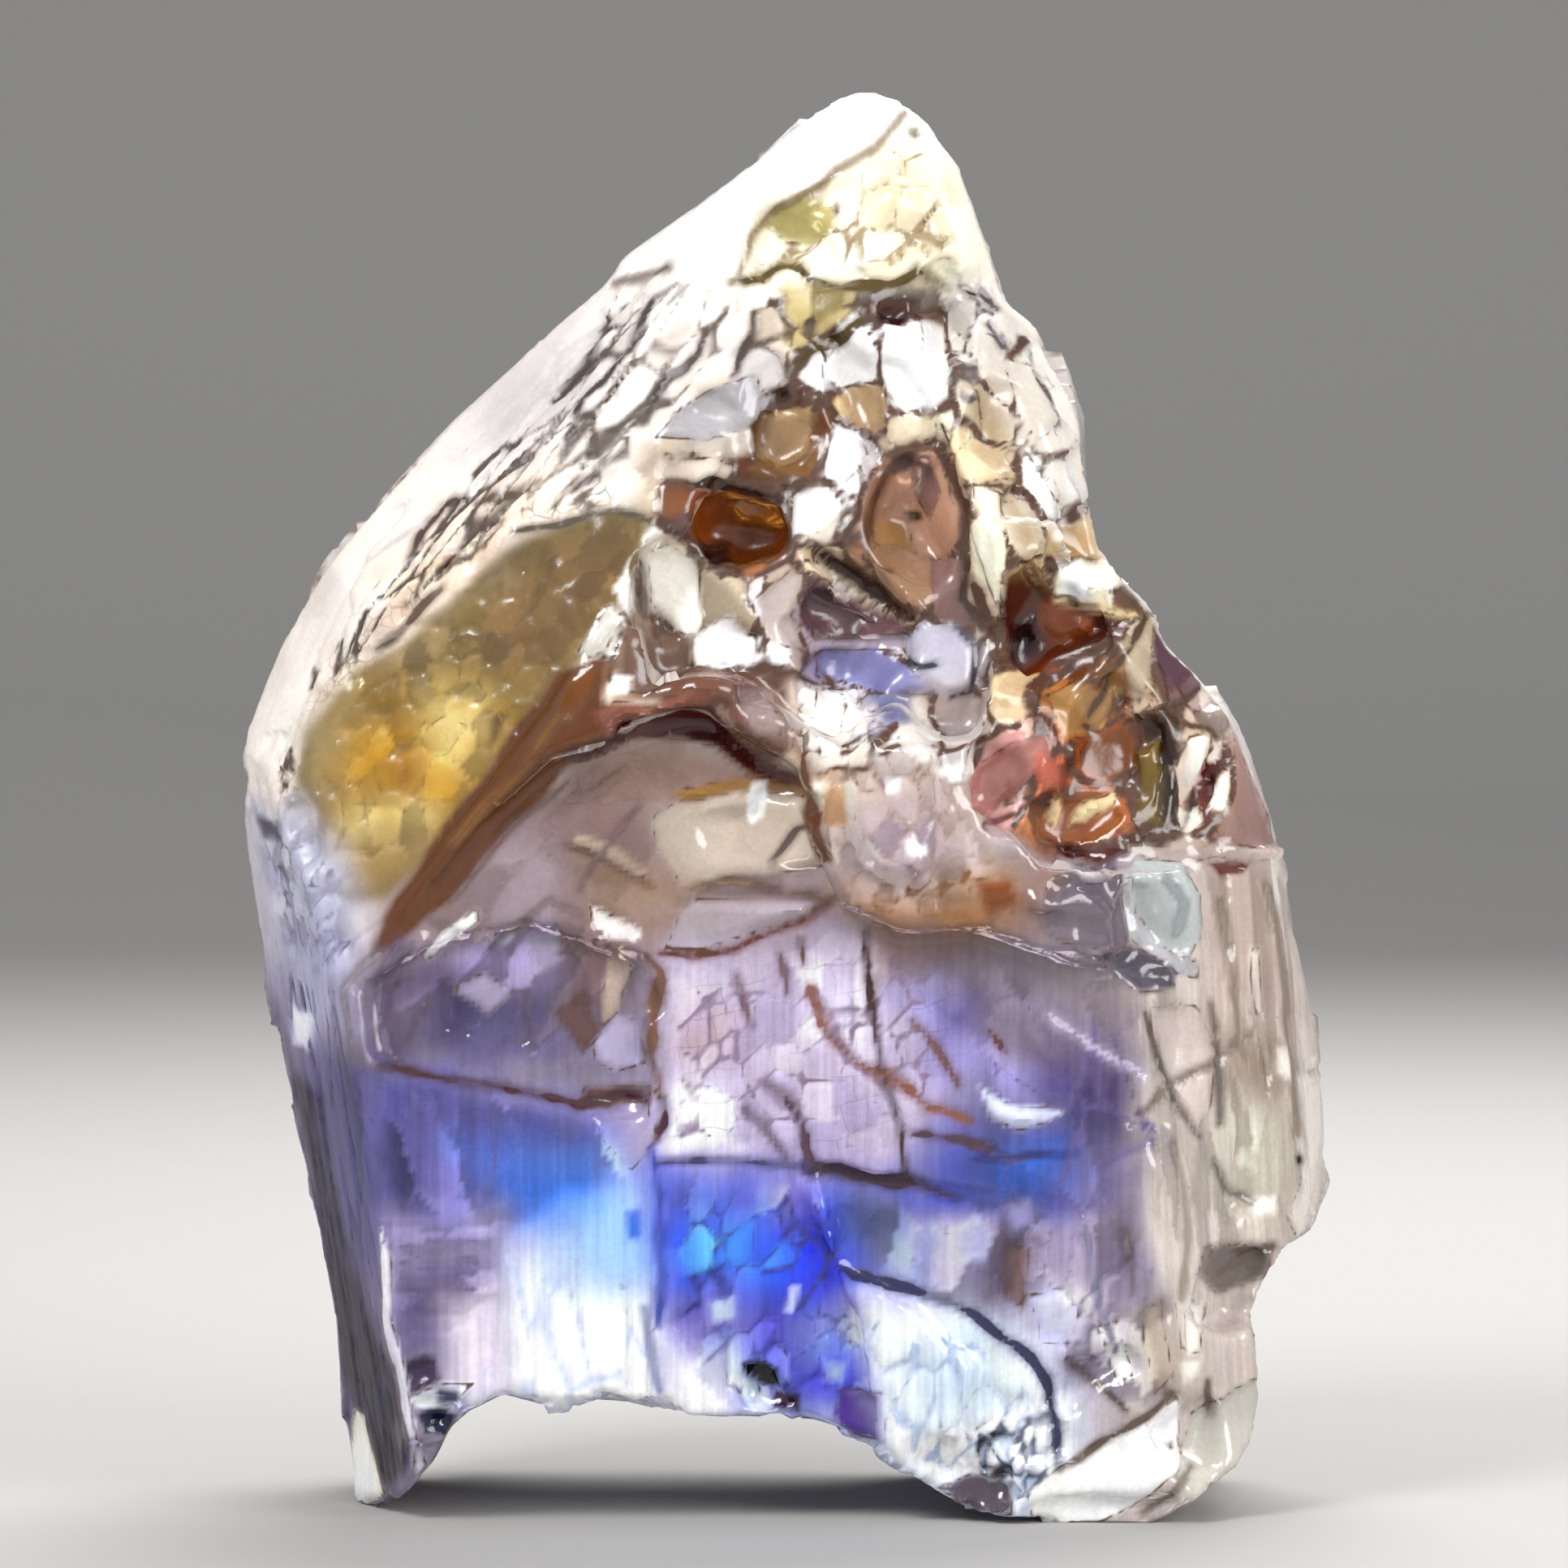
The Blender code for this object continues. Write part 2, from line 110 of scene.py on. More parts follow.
# Facets, hollows and lumps of the front: name, hex, softness in pixels, outline. Later ones lie over
# earlier ones, and each small one is a facet of its own, tilted a little. Some are painted highlights and
# painted shadow.
FACETS = (
    ("left of slab, frosted", "F4ECE6", 12, "330,1000 420,870 440,980 420,1090 470,1110 440,1180 330,1160"),
    ("slab olive", "94804F", 9, "440,830 500,790 560,745 600,700 650,665 700,650 760,632 800,645 785,700 "
     "740,790 640,900 560,1020 480,1100 430,1108 400,1080 395,1000 372,960 382,900"),
    ("slab dark top", "66553A", 12, "615,695 650,668 700,655 790,640 770,700 700,722 620,722"),
    ("slab tan shoulder", "8C7048", 10, "690,690 780,672 760,740 720,790 690,830 600,830 600,760 650,725"),
    ("slab grey olive edge", "B3A886", 12, "380,900 430,850 445,900 420,980 388,980"),
    ("slab golden heart", "D8A83C", 20, "430,900 500,868 560,870 625,880 600,940 560,990 500,1010 440,980"),
    ("slab lower tan", "B49A68", 12, "410,1020 520,1010 560,1020 520,1060 470,1098 420,1090"),
    ("slab pale spot", "F0DCA0", 12, "530,860 600,850 612,900 575,940 540,930"),
    ("slab pale band", "F0DCA0", 12, "445,992 520,975 532,1000 470,1016 430,1022"),
    ("slab amber freckle", "A87A24", 10, "475,938 520,934 526,966 488,972"),
    ("slab dark fleck", "6E5220", 8, "612,880 628,876 622,905 612,910"),
    ("pale wedge by the slab", "E2DED6", 4, "715,800 755,745 772,762 750,800 730,808"),
    ("white wedge above it", "F2F0EC", 3, "762,725 775,700 782,735 775,752"),
    ("mauve face upper", "A08884", 10, "700,940 780,915 860,910 930,945 1000,975 820,975 800,1000 812,1060 "
     "840,1092 1000,1095 1030,1105 950,1140 870,1166 820,1166 770,1180 700,1200 600,1160 540,1150 560,1100 "
     "610,1040 660,980"),
    ("mauve face light left", "A8989A", 16, "600,1060 680,1040 700,1120 640,1150 570,1130"),
    ("pale smoke", "B4A6AC", 14, "600,1080 660,1020 700,1060 690,1140 620,1150"),
    # painted shadow: the mauve face darkens under the overhanging ledge
    ("smoke under the ledge", "9C8274", 14, "700,930 820,905 960,940 1000,985 820,965 740,985"),
    # amber brown of the riser, darkened by painted shade of the steep face
    ("riser amber in painted shade", "664020", 6, "692,822 750,803 748,850 772,892 745,922 706,940 650,1004 598,1066 "
     "545,1116 490,1158 464,1172 478,1122 528,1046 588,966 640,892 680,842"),
    # painted highlight along the ridge at the top of the riser
    ("riser light streak", "8A6030", 6, "560,1030 640,940 700,862 710,864 650,948 575,1037"),
    ("riser bright amber", "7E5020", 5, "702,832 745,812 736,850 706,884 690,862"),
    ("ochre edge of the lens", "AA8040", 6, "830,970 880,955 980,950 1000,965 990,980 930,966 880,976 "
     "850,986"),
    ("beige lens", "DCCFC0", 4, "806,1000 830,985 880,975 930,970 1000,975 1020,1010 1020,1060 960,1070 "
     "880,1075 850,1090 830,1060 810,1030"),
    ("lens glint", "FFFFFA", 3, "925,960 945,958 942,1000 926,1010 920,990"),
    ("brown beige under the lens", "A68E7A", 10, "720,1040 800,1060 860,1092 840,1140 800,1150 740,1120 "
     "720,1080"),
    ("pale lens below", "C8BCBC", 5, "860,1102 1018,1106 960,1130 870,1160 822,1160 840,1120"),
    ("thin light sweep", "D0BEAC", 3, "710,1018 760,1032 800,1068 790,1076 740,1046 710,1031"),
    ("left white sliver", "FFFFFF", 2, "524,1168 560,1138 592,1114 592,1130 565,1151 535,1173"),
    ("second white sliver", "FFFFFF", 2, "611,1158 641,1128 638,1151 619,1161"),
    ("middle white sliver", "F4F0EC", 3, "730,1108 765,1123 792,1140 785,1151 755,1149 735,1130"),
    ("ledge red brown", "4C1600", 4, "745,880 790,872 850,860 880,860 900,890 950,930 985,945 985,965 "
     "930,955 880,916 830,905 780,910 730,930 700,935 705,916 760,900"),
    ("brow over the ledge", "7A5442", 6, "800,850 860,830 930,830 960,850 980,880 975,920 950,935 910,900 "
     "885,860 840,856"),
    ("brow light", "B5A09A", 8, "900,842 950,847 962,900 930,902"),
    # painted highlight along the ledge's top edge
    ("ledge lip highlight", "9A6450", 3, "735,870 760,858 800,868 850,848 880,850 868,864 810,878 770,886 "
     "755,900 744,886"),
    ("dark mauve facet low", "64546A", 12, "500,1160 560,1180 620,1200 560,1230 510,1232 500,1262 525,1308 "
     "468,1300 445,1205"),
    ("mauve facet", "50486A", 12, "560,1182 600,1200 690,1210 690,1270 560,1300 520,1282 520,1232"),
    ("light mauve facet", "AEA4CC", 12, "590,1170 680,1130 700,1200 620,1210"),
    ("lilac facet", "8A82AC", 12, "570,1252 640,1240 690,1272 620,1312 560,1300"),
    ("brown mauve facet", "6C5658", 12, "700,1142 760,1160 802,1182 790,1240 740,1250 700,1240"),
    ("pale small facet", "CCC4DE", 5, "730,1270 760,1240 790,1250 796,1300 760,1312 735,1300"),
    ("beige streak a", "C8B49C", 5, "752,1180 770,1150 778,1190 760,1240 745,1250"),
    ("pale shard a", "C4BCD4", 4, "560,1210 600,1190 640,1215 610,1240"),
    ("brown shard", "6A504C", 5, "690,1240 720,1215 745,1260 720,1290"),
    ("pale shard b", "B8B0C8", 4, "650,1150 690,1135 700,1180 665,1200"),
    ("brown band over the low ledge", "6E4A34", 4, "720,1330 800,1324 816,1340 790,1350 760,1360 725,1350"),
    ("grey lilac under it", "A69CBA", 5, "730,1352 800,1345 815,1390 780,1430 745,1385"),
    ("left corner, mottled", "D0D0E0", 10, "304,1000 370,990 420,1050 452,1112 430,1160 380,1200 332,1182 "
     "310,1080"),
    ("mottled dark", "5C566C", 5, "315,1008 345,1010 347,1035 320,1036"),
    ("bluish white streak", "C8C8E4", 14, "332,1090 400,1130 440,1180 430,1250 380,1262 340,1190"),
    ("left dark strip", "2C2036", 9, "352,1320 400,1350 420,1480 450,1600 500,1700 512,1790 480,1840 "
     "440,1760 420,1700 390,1520"),
    ("left violet strip", "5E5A86", 14, "400,1290 470,1310 482,1420 476,1540 440,1540 415,1400"),
    ("left navy low", "1E1A30", 10, "472,1650 496,1700 516,1790 490,1800 472,1720"),
    ("left glint", "E8E8F4", 8, "358,1238 386,1252 378,1292 360,1288"),
    ("left small glint", "DCDCEC", 7, "328,1105 350,1105 346,1130 330,1126"),
    ("violet of the low left face", "8E8ACC", 14, "478,1330 560,1332 700,1352 760,1380 740,1430 640,1460 "
     "600,1520 480,1500"),
    ("slate violet left", "545080", 12, "476,1312 560,1325 570,1400 545,1480 480,1480"),
    ("blue above", "7AA4FF", 14, "580,1405 640,1395 720,1400 770,1430 740,1470 640,1480 600,1450"),
    ("pale icy", "F4F8FF", 22, "620,1510 720,1520 760,1570 812,1580 800,1700 640,1690 625,1600"),
    ("sky blue", "A8C8FF", 16, "690,1430 760,1420 812,1450 816,1520 812,1575 750,1585 700,1550 680,1490"),
    ("bright blue spot", "5C98FF", 12, "640,1450 720,1425 742,1440 730,1470 680,1480 640,1476"),
    ("blue freckle", "4A80E8", 6, "775,1478 790,1476 792,1510 778,1512"),
    ("white bottom", "FFFFFF", 16, "640,1620 800,1600 830,1736 700,1728 628,1704"),
    ("mauve growth steps", "7E729A", 10, "482,1500 620,1500 615,1580 560,1590 555,1680 500,1650 486,1560"),
    ("upper light step", "C6BCDE", 12, "490,1490 612,1480 600,1497 495,1503"),
    ("lower light step", "C6BCDE", 12, "490,1536 612,1525 605,1541 495,1549"),
    ("pinkish block", "E8DEEA", 10, "560,1590 610,1580 640,1640 642,1690 600,1702 560,1690"),
    ("dark square", "42344F", 4, "500,1665 530,1650 545,1655 549,1685 520,1700 505,1690"),
    ("white under it", "F2F4FC", 4, "512,1705 560,1690 590,1690 560,1716 525,1719"),
    ("navy facet", "101238", 3, "521,1722 550,1718 571,1730 555,1756 530,1752"),
    ("grey oval", "646880", 4, "545,1697 570,1697 571,1712 548,1713"),
    ("white edge of the blade", "EDEBF8", 3, "474,1500 486,1540 490,1600 500,1650 513,1720 530,1798 "
     "519,1806 500,1722 484,1640 474,1560"),
    ("spike white", "FBF8EC", 4, "432,1745 446,1745 460,1800 476,1836 446,1872 430,1872 426,1790"),
    ("centre blue", "4468F0", 10, "812,1430 900,1440 1000,1430 1052,1490 1040,1560 1000,1590 900,1590 "
     "820,1590 815,1500"),
    ("navy top of the band", "5068D8", 12, "815,1430 900,1450 960,1440 982,1490 900,1480 830,1490"),
    ("bright blue heart", "6CA8FF", 12, "860,1500 930,1490 932,1560 880,1570 850,1540"),
    ("deep violet blue", "2A1CCC", 12, "990,1440 1032,1500 1042,1570 1010,1582 990,1520"),
    ("lilac below the band", "8A86DC", 12, "820,1590 900,1572 902,1640 870,1700 820,1690"),
    ("foot white strips", "F4F2FA", 12, "820,1640 900,1650 932,1700 900,1728 820,1734"),
    ("violet streaks", "4232A8", 12, "930,1600 1000,1580 1012,1620 960,1650 930,1662"),
    ("blue mass low", "524ED4", 12, "960,1660 1010,1640 1062,1660 1082,1710 1040,1730 1000,1712 970,1700"),
    ("light blue oval", "ACBCFC", 12, "985,1620 1020,1608 1022,1650 1000,1662 985,1645"),
    ("pale oval left", "C8D8FF", 6, "875,1590 905,1584 906,1610 880,1616"),
    ("pale oval right", "BCCCFF", 7, "1015,1665 1040,1670 1036,1696 1015,1690"),
    ("white tick", "DCE4FF", 4, "970,1570 981,1570 979,1602 968,1602"),
    ("purple foot", "53358E", 4, "1030,1700 1086,1700 1089,1766 1050,1756 1024,1730"),
    ("black notch", "080410", 3, "914,1665 940,1660 960,1670 966,1696 940,1693 920,1681"),
    ("plum under the notch", "36203C", 5, "950,1696 986,1700 986,1728 950,1724"),
    ("lilac bricks", "DCD0E8", 26, "825,1180 900,1176 1000,1150 1065,1145 1080,1200 1120,1200 1150,1280 "
     "1160,1330 1110,1420 1000,1440 880,1420 810,1416 815,1300"),
    ("pink brick", "DCC6CA", 12, "850,1250 890,1250 896,1290 860,1296 845,1280"),
    ("lilac white brick", "F6F2FF", 12, "1000,1200 1060,1200 1066,1282 1010,1250"),
    ("white brick low", "F4F2FF", 12, "830,1330 900,1330 910,1400 830,1405"),
    ("grey beige above the bricks", "9C8078", 12, "1072,1140 1160,1130 1182,1170 1120,1190 1082,1190"),
    ("violet right of the bricks", "8C8090", 16, "1110,1192 1200,1172 1290,1210 1400,1290 1390,1390 "
     "1290,1380 1200,1340 1150,1300"),
    ("deep mauve right", "483C64", 16, "1270,1280 1400,1292 1400,1390 1320,1390 1280,1340"),
    ("pale lilac sweep", "C4BCF0", 12, "1110,1222 1150,1210 1200,1260 1260,1320 1270,1360 1200,1330 "
     "1150,1320"),
    ("dark violet fleck", "50467E", 12, "1150,1232 1190,1232 1202,1260 1160,1266"),
    ("dark violet fleck right", "50467E", 12, "1270,1320 1310,1330 1322,1350 1290,1351"),
    ("white lilac shell", "F0F3FF", 3, "1200,1330 1240,1350 1312,1354 1290,1366 1250,1379 1215,1366"),
    ("blue patch", "4A5890", 20, "1190,1390 1310,1376 1322,1440 1290,1470 1200,1466 1160,1430"),
    ("blue patch bright", "4A74C8", 12, "1220,1410 1290,1400 1282,1450 1230,1456"),
    ("slate under the brown band", "6478B8", 12, "1030,1460 1110,1480 1122,1510 1060,1540 1030,1520"),
    ("icy oval", "B6CAF8", 12, "1090,1520 1130,1510 1132,1560 1100,1556"),
    ("lilac oval", "CECEF4", 12, "1160,1510 1200,1520 1192,1560 1160,1550"),
    ("mauve smear", "7A6684", 12, "1230,1500 1280,1510 1262,1580 1220,1590 1210,1550"),
    ("mauve right low", "A89CB4", 10, "1310,1500 1390,1480 1402,1600 1350,1620 1310,1580"),
    ("pale blob", "F8F8FF", 12, "1265,1600 1290,1580 1320,1590 1326,1630 1290,1651 1270,1640"),
    ("lilac cell a", "C0C4F0", 6, "1120,1500 1150,1490 1165,1520 1140,1545 1115,1530"),
    ("lilac cell b", "CCCCF4", 6, "1170,1500 1200,1485 1222,1510 1210,1545 1178,1540"),
    ("lilac cell c", "B4B0DC", 6, "1230,1470 1262,1465 1270,1500 1240,1510"),
    ("lilac cell d", "DCDCFA", 6, "1262,1580 1300,1575 1325,1600 1310,1645 1275,1640"),
    ("brown smear", "8A6E6C", 8, "1240,1520 1262,1530 1255,1600 1235,1590"),
    ("tan smear right", "9A8478", 8, "1400,1600 1425,1590 1440,1680 1415,1700"),
    ("white streak right", "F0ECE8", 6, "1442,1590 1465,1585 1470,1640 1450,1650"),
    ("icy right", "F4F8FF", 14, "1060,1580 1160,1602 1230,1642 1290,1702 1302,1760 1240,1832 1150,1822 "
     "1110,1780 1086,1742 1080,1680"),
    ("icy blue shade", "D0E0FA", 20, "1110,1640 1200,1640 1222,1700 1150,1722"),
    ("right beige", "DAD0C6", 10, "1400,1222 1480,1240 1590,1290 1620,1480 1560,1540 1440,1540 1400,1450"),
    ("right lens", "E0D4CC", 4, "1410,1230 1470,1235 1496,1290 1490,1360 1470,1390 1440,1340 1420,1290"),
    ("right brown", "A89888", 12, "1500,1260 1560,1270 1592,1320 1560,1360 1500,1340"),
    ("olive grey", "DCD8C8", 12, "1500,1380 1580,1370 1592,1450 1560,1480 1510,1440"),
    ("right white facet", "F0ECE8", 5, "1535,1474 1570,1475 1571,1493 1545,1493"),
    ("far right white", "E8E0D8", 8, "1600,1330 1642,1330 1650,1430 1636,1490 1600,1532 1590,1500 "
     "1610,1440"),
    ("right edge light", "DED4CC", 5, "1590,1070 1606,1120 1636,1320 1610,1330 1595,1200 1575,1080"),
    ("right upper beige", "CCBAB0", 12, "1480,1060 1560,1060 1590,1250 1500,1240 1480,1150"),
    ("right strip top", "EAE2DA", 6, "1565,1060 1580,1060 1582,1112 1568,1112"),
    ("right strip middle", "EAE2DA", 6, "1570,1288 1585,1294 1591,1330 1572,1322"),
    ("right strip thin", "EAE2DA", 6, "1540,1168 1550,1168 1556,1246 1547,1246"),
    ("grey lilac pane", "887C84", 4, "1290,1070 1370,1050 1386,1150 1380,1160 1300,1150 1275,1130 "
     "1280,1090"),
    ("white lens", "CFD4D2", 4, "1375,1075 1400,1055 1450,1060 1476,1100 1476,1150 1450,1190 1410,1150 "
     "1385,1140"),
    ("white lens rim", "D4D2D4", 3, "1375,1080 1390,1074 1396,1120 1422,1160 1472,1184 1472,1201 1430,1190 "
     "1385,1150"),
    ("slate shape", "625C66", 4, "1340,1165 1390,1160 1442,1190 1442,1211 1400,1216 1370,1200"),
    ("beige glow", "A89AA0", 12, "1200,1170 1260,1140 1290,1150 1340,1180 1390,1220 1402,1290 1330,1240 "
     "1260,1202"),
    ("column", "E0CEC2", 12, "1010,960 1050,940 1200,950 1216,1030 1200,1090 1120,1110 1040,1092 "
     "1020,1030"),
    ("column violet heart", "D4C2C8", 12, "1060,1000 1150,960 1182,1040 1120,1082 1060,1060"),
    ("column peach left", "DCB490", 5, "1010,970 1036,958 1042,1012 1014,1012"),
    ("column glint", "FFFFFF", 3, "1108,1022 1136,1034 1138,1046 1114,1046"),
    ("white mass over the column", "F4ECE2", 12, "985,850 1050,850 1062,880 1040,922 1000,920 985,880"),
    ("white shard a", "F6F0EA", 4, "1003,850 1022,846 1040,880 1036,925 1012,928 1000,890"),
    ("white shard b", "EFE8E0", 4, "1100,856 1135,850 1150,890 1140,925 1108,920"),
    ("beige shard", "C8B8AC", 5, "1155,830 1195,850 1205,890 1170,905 1150,880"),
    # painted highlights: glints on the column
    ("white hook", "FFFFFA", 3, "1150,942 1190,924 1202,945 1180,959 1155,952"),
    ("small glint", "FFFFFF", 3, "1088,954 1106,954 1102,972 1089,970"),
    ("peach fleck", "FFEEDC", 3, "998,960 1020,954 1012,986"),
    ("brown under the column", "A0744A", 12, "1040,1100 1120,1112 1200,1090 1290,1060 1262,1120 1200,1140 "
     "1100,1140"),
    ("brown right of the column", "90562C", 6, "1200,1080 1240,1074 1252,1100 1210,1121"),
    ("pale facet", "F0ECE4", 4, "800,680 830,670 860,700 872,760 850,792 820,760 800,740"),
    ("beige facet", "BCAE98", 5, "860,690 900,720 932,760 920,790 870,790 865,750"),
    ("brown grey facet", "846858", 8, "780,762 850,782 852,830 800,850 770,830"),
    ("white facet", "FFFFFF", 4, "855,780 900,760 932,790 926,822 880,826 860,816"),
    # painted highlights: small white glints on the broken facets
    ("white fleck left", "FFFAF2", 3, "748,842 762,825 786,830 780,851 752,853"),
    ("white fleck right", "FFFFFF", 3, "945,790 971,795 966,821 945,815"),
    ("mauve beige facet", "DCD0CC", 6, "930,740 975,700 990,710 975,760 985,800 950,790"),
    ("brown hollow", "864A10", 4, "850,605 900,600 960,620 972,650 960,680 920,690 880,692 850,660 "
     "845,630"),
    ("hollow orange", "C88040", 5, "895,620 960,625 956,650 910,646"),
    ("hollow dark foot", "2A0903", 4, "855,650 880,664 900,664 906,690 880,701 865,681"),
    ("mauve left of the hollow", "6E5450", 4, "820,640 850,630 860,670 830,666"),
    ("tan facet", "7A5830", 4, "935,510 980,500 1030,515 1020,550 1000,590 950,592 908,590 930,560"),
    ("tan facet light", "BC9F7A", 5, "950,506 1000,500 1001,560 960,580 940,560"),
    ("tan dark edge", "63390E", 4, "1010,505 1031,515 1016,560 995,540"),
    ("tan dark foot", "63390E", 4, "904,550 930,560 926,590 904,590"),
    ("cream curl", "F0E2CC", 4, "1090,520 1120,508 1152,520 1150,540 1110,552 1092,545"),
    ("beige by the hollow", "D8CFC4", 5, "845,520 880,508 925,520 930,560 880,572 850,560"),
    ("cream over the hollow", "EDE3D6", 4, "845,572 880,565 902,580 890,600 858,604"),
    ("grey rim a", "D8D4D0", 5, "1195,400 1235,420 1260,480 1240,500 1205,460"),
    ("white rim b", "F4F2EE", 4, "1240,440 1275,450 1300,520 1280,545 1255,505"),
    ("cream rim c", "EEDFC0", 5, "1200,475 1240,505 1250,545 1215,540"),
    ("white rim d", "F0ECE4", 4, "1230,620 1262,610 1285,660 1262,690 1238,670"),
    ("tan rim e", "C8A878", 5, "1290,640 1325,650 1335,685 1300,690"),
    ("dark wedge over it", "42200A", 4, "950,480 975,468 981,495 955,506"),
    ("grey facet", "CCCACC", 4, "850,500 900,470 935,460 946,500 920,530 870,546 810,536 830,510"),
    ("white facet upper", "FFFFFF", 3, "1015,450 1040,410 1060,400 1086,440 1080,470 1040,478 1015,465"),
    ("white facet middle", "FFFFFF", 3, "1030,520 1060,530 1072,560 1040,600 1010,590 1020,550"),
    ("white facet lower", "FFFFFF", 3, "975,605 1020,600 1042,630 1010,655 975,661"),
    ("white facet right", "FFFEFA", 4, "1085,400 1130,400 1142,500 1110,511 1090,470"),
    ("beige between", "CDB490", 4, "1040,480 1085,475 1092,530 1060,530 1035,510"),
    ("tan brown facet", "D4AC94", 5, "1095,580 1110,560 1150,555 1170,600 1192,650 1170,690 1140,690 "
     "1120,720 1090,700 1060,690 1070,640"),
    ("tan inner", "C8A070", 6, "1080,640 1120,640 1132,680 1110,710 1080,690"),
    ("mauve brown stripe", "9A7A74", 4, "1120,570 1140,560 1162,610 1150,640 1130,610"),
    ("dark bead", "30140F", 3, "1112,625 1140,630 1141,642 1118,641"),
    ("dark triangle", "4A2C2C", 4, "1097,572 1112,556 1128,560 1118,580 1102,586"),
    ("beige under the tan", "B8967A", 5, "1068,672 1110,668 1150,690 1150,745 1110,745 1078,715"),
    ("pinkish right of it", "A88884", 5, "1145,690 1190,690 1198,770 1165,780 1148,745"),
    ("peach right", "F6E0BE", 6, "1170,560 1200,540 1240,560 1252,590 1200,602 1180,590"),
    ("cream strip", "FFF0DA", 4, "1195,600 1226,610 1237,680 1226,760 1205,776 1185,740 1190,660"),
    ("lilac rim", "D6CAD8", 4, "975,760 1000,700 1010,700 990,750 1000,790 1060,780 1122,780 1110,796 "
     "1050,801 1000,800"),
    ("dark mauve facet", "7C6064", 4, "985,740 1000,710 1030,720 1080,740 1121,760 1110,780 1050,786 "
     "1000,780 985,765"),
    ("dark mauve shadow", "463030", 5, "1010,730 1050,740 1040,756 1015,746"),
    ("cream lip of the slit", "F6E6D0", 3, "986,688 1010,692 1060,722 1105,752 1128,762 1124,772 1080,752 "
     "1030,720 992,702"),
    ("bluish facet", "9C9CCC", 6, "1010,800 1080,795 1132,830 1151,850 1100,851 1050,841 1010,830"),
    ("bluish deep", "868AB0", 6, "1080,860 1120,850 1126,880 1090,881"),
    ("glassy bead", "D8D6E4", 4, "1110,790 1130,770 1180,770 1202,800 1200,850 1160,856 1120,820"),
    ("lower bead", "CFC3BE", 12, "1140,860 1200,850 1212,900 1180,930 1140,920"),
    ("amber hollow", "4C2200", 4, "1232,705 1270,690 1300,740 1340,755 1402,755 1370,786 1320,800 1300,811 "
     "1262,850 1240,820 1228,760"),
    ("amber middle", "8A4A04", 6, "1290,740 1340,760 1340,780 1300,790 1280,770"),
    ("amber darkest", "2A0800", 6, "1240,770 1275,760 1282,800 1250,811"),
    ("amber tip", "3E1605", 4, "1355,770 1402,756 1380,785 1350,789"),
    ("cream under the amber", "E8D0A8", 3, "1222,850 1240,825 1281,830 1260,850 1240,876 1225,870"),
    ("cream drop", "E8C0A8", 3, "1250,880 1271,880 1266,916 1250,911"),
    ("brown right", "985010", 12, "1270,850 1320,810 1400,800 1402,860 1380,960 1330,980 1300,930 "
     "1290,880"),
    ("cream cell over the amber", "F8EEDC", 3, "1300,700 1330,690 1345,715 1325,735 1302,730"),
    ("cream cell beside it", "EADCC4", 3, "1345,722 1372,730 1370,752 1340,748"),
    ("tan flake", "C09868", 4, "1290,850 1330,830 1372,850 1360,900 1310,905"),
    ("brown flake", "7A4A20", 4, "1330,905 1385,890 1400,940 1360,965 1325,945"),
    ("pale flake right", "E4D0B4", 4, "1395,800 1420,810 1415,870 1392,880"),
    ("tan strip", "CDA26A", 5, "1350,830 1400,780 1416,800 1400,850 1370,861"),
    ("pale strip", "DECEB6", 5, "1375,792 1420,745 1427,800 1400,866 1385,851"),
    ("brown dark right", "2E1800", 8, "1400,880 1440,880 1451,930 1440,1000 1420,1030 1400,960"),
    ("olive right", "836C2E", 8, "1395,930 1420,900 1431,950 1425,1020 1400,1000"),
    ("mauve corner", "604650", 4, "1425,760 1440,800 1471,830 1440,851 1420,820"),
    ("pink hollow", "D8A098", 6, "1200,940 1240,910 1285,900 1291,930 1250,970 1210,1000 1190,990"),
    ("pink bright", "D88068", 6, "1270,920 1300,930 1321,960 1290,976 1265,950"),
    ("orange", "A8683C", 6, "1280,1000 1300,985 1370,960 1391,1010 1350,1040 1300,1046 1275,1030"),
    ("orange glint left", "FFE2BC", 3, "1293,976 1312,990 1302,1022 1291,1006"),
    ("orange glint right", "FFE2BC", 3, "1330,992 1376,964 1371,986 1340,1011 1315,1017"),
    ("dark red foot", "542012", 3, "1285,1030 1340,1046 1402,1034 1350,1061 1310,1056"),
    ("pinkish flank", "B99C94", 6, "1520,900 1560,1000 1591,1050 1540,1041 1500,1030 1520,980"),
    ("red brown between crystals", "632C20", 4, "1462,950 1505,920 1512,960 1482,1012"),
    ("pink crystal a", "FFF2EC", 2, "1443,945 1463,906 1489,904 1481,950 1450,1001"),
    ("pink crystal b", "FFF2EC", 2, "1488,915 1511,908 1507,936 1490,937"),
    ("pink crystal c", "FFF2EC", 2, "1489,966 1521,940 1517,970 1501,1001 1487,991"),
    ("pink crystal d", "FFF6F2", 2, "1451,1000 1476,994 1479,1011 1455,1031"),
    ("pink crystal e", "B8A8A0", 3, "1470,882 1500,858 1522,900 1500,906"),
    ("white step", "D4C6BE", 2, "1385,1034 1450,1044 1500,1044 1591,1044 1591,1059 1500,1056 1440,1056 "
     "1390,1046"),
    ("maroon under the step", "663C36", 3, "1484,1062 1542,1062 1531,1076 1500,1081"),
    ("peak cream", "F6EEDA", 12, "950,240 1000,220 1060,190 1130,180 1162,230 1160,330 1060,351 1000,345 "
     "960,325 910,351 905,320 925,270"),
    ("yellow facet", "D8CC90", 4, "940,276 960,250 1000,245 1026,260 1031,286 1000,301 970,296"),
    ("cream right", "EADFC4", 10, "1100,190 1150,190 1162,330 1100,341"),
    ("olive small", "A89868", 5, "1000,350 1040,360 1031,390 1000,401"),
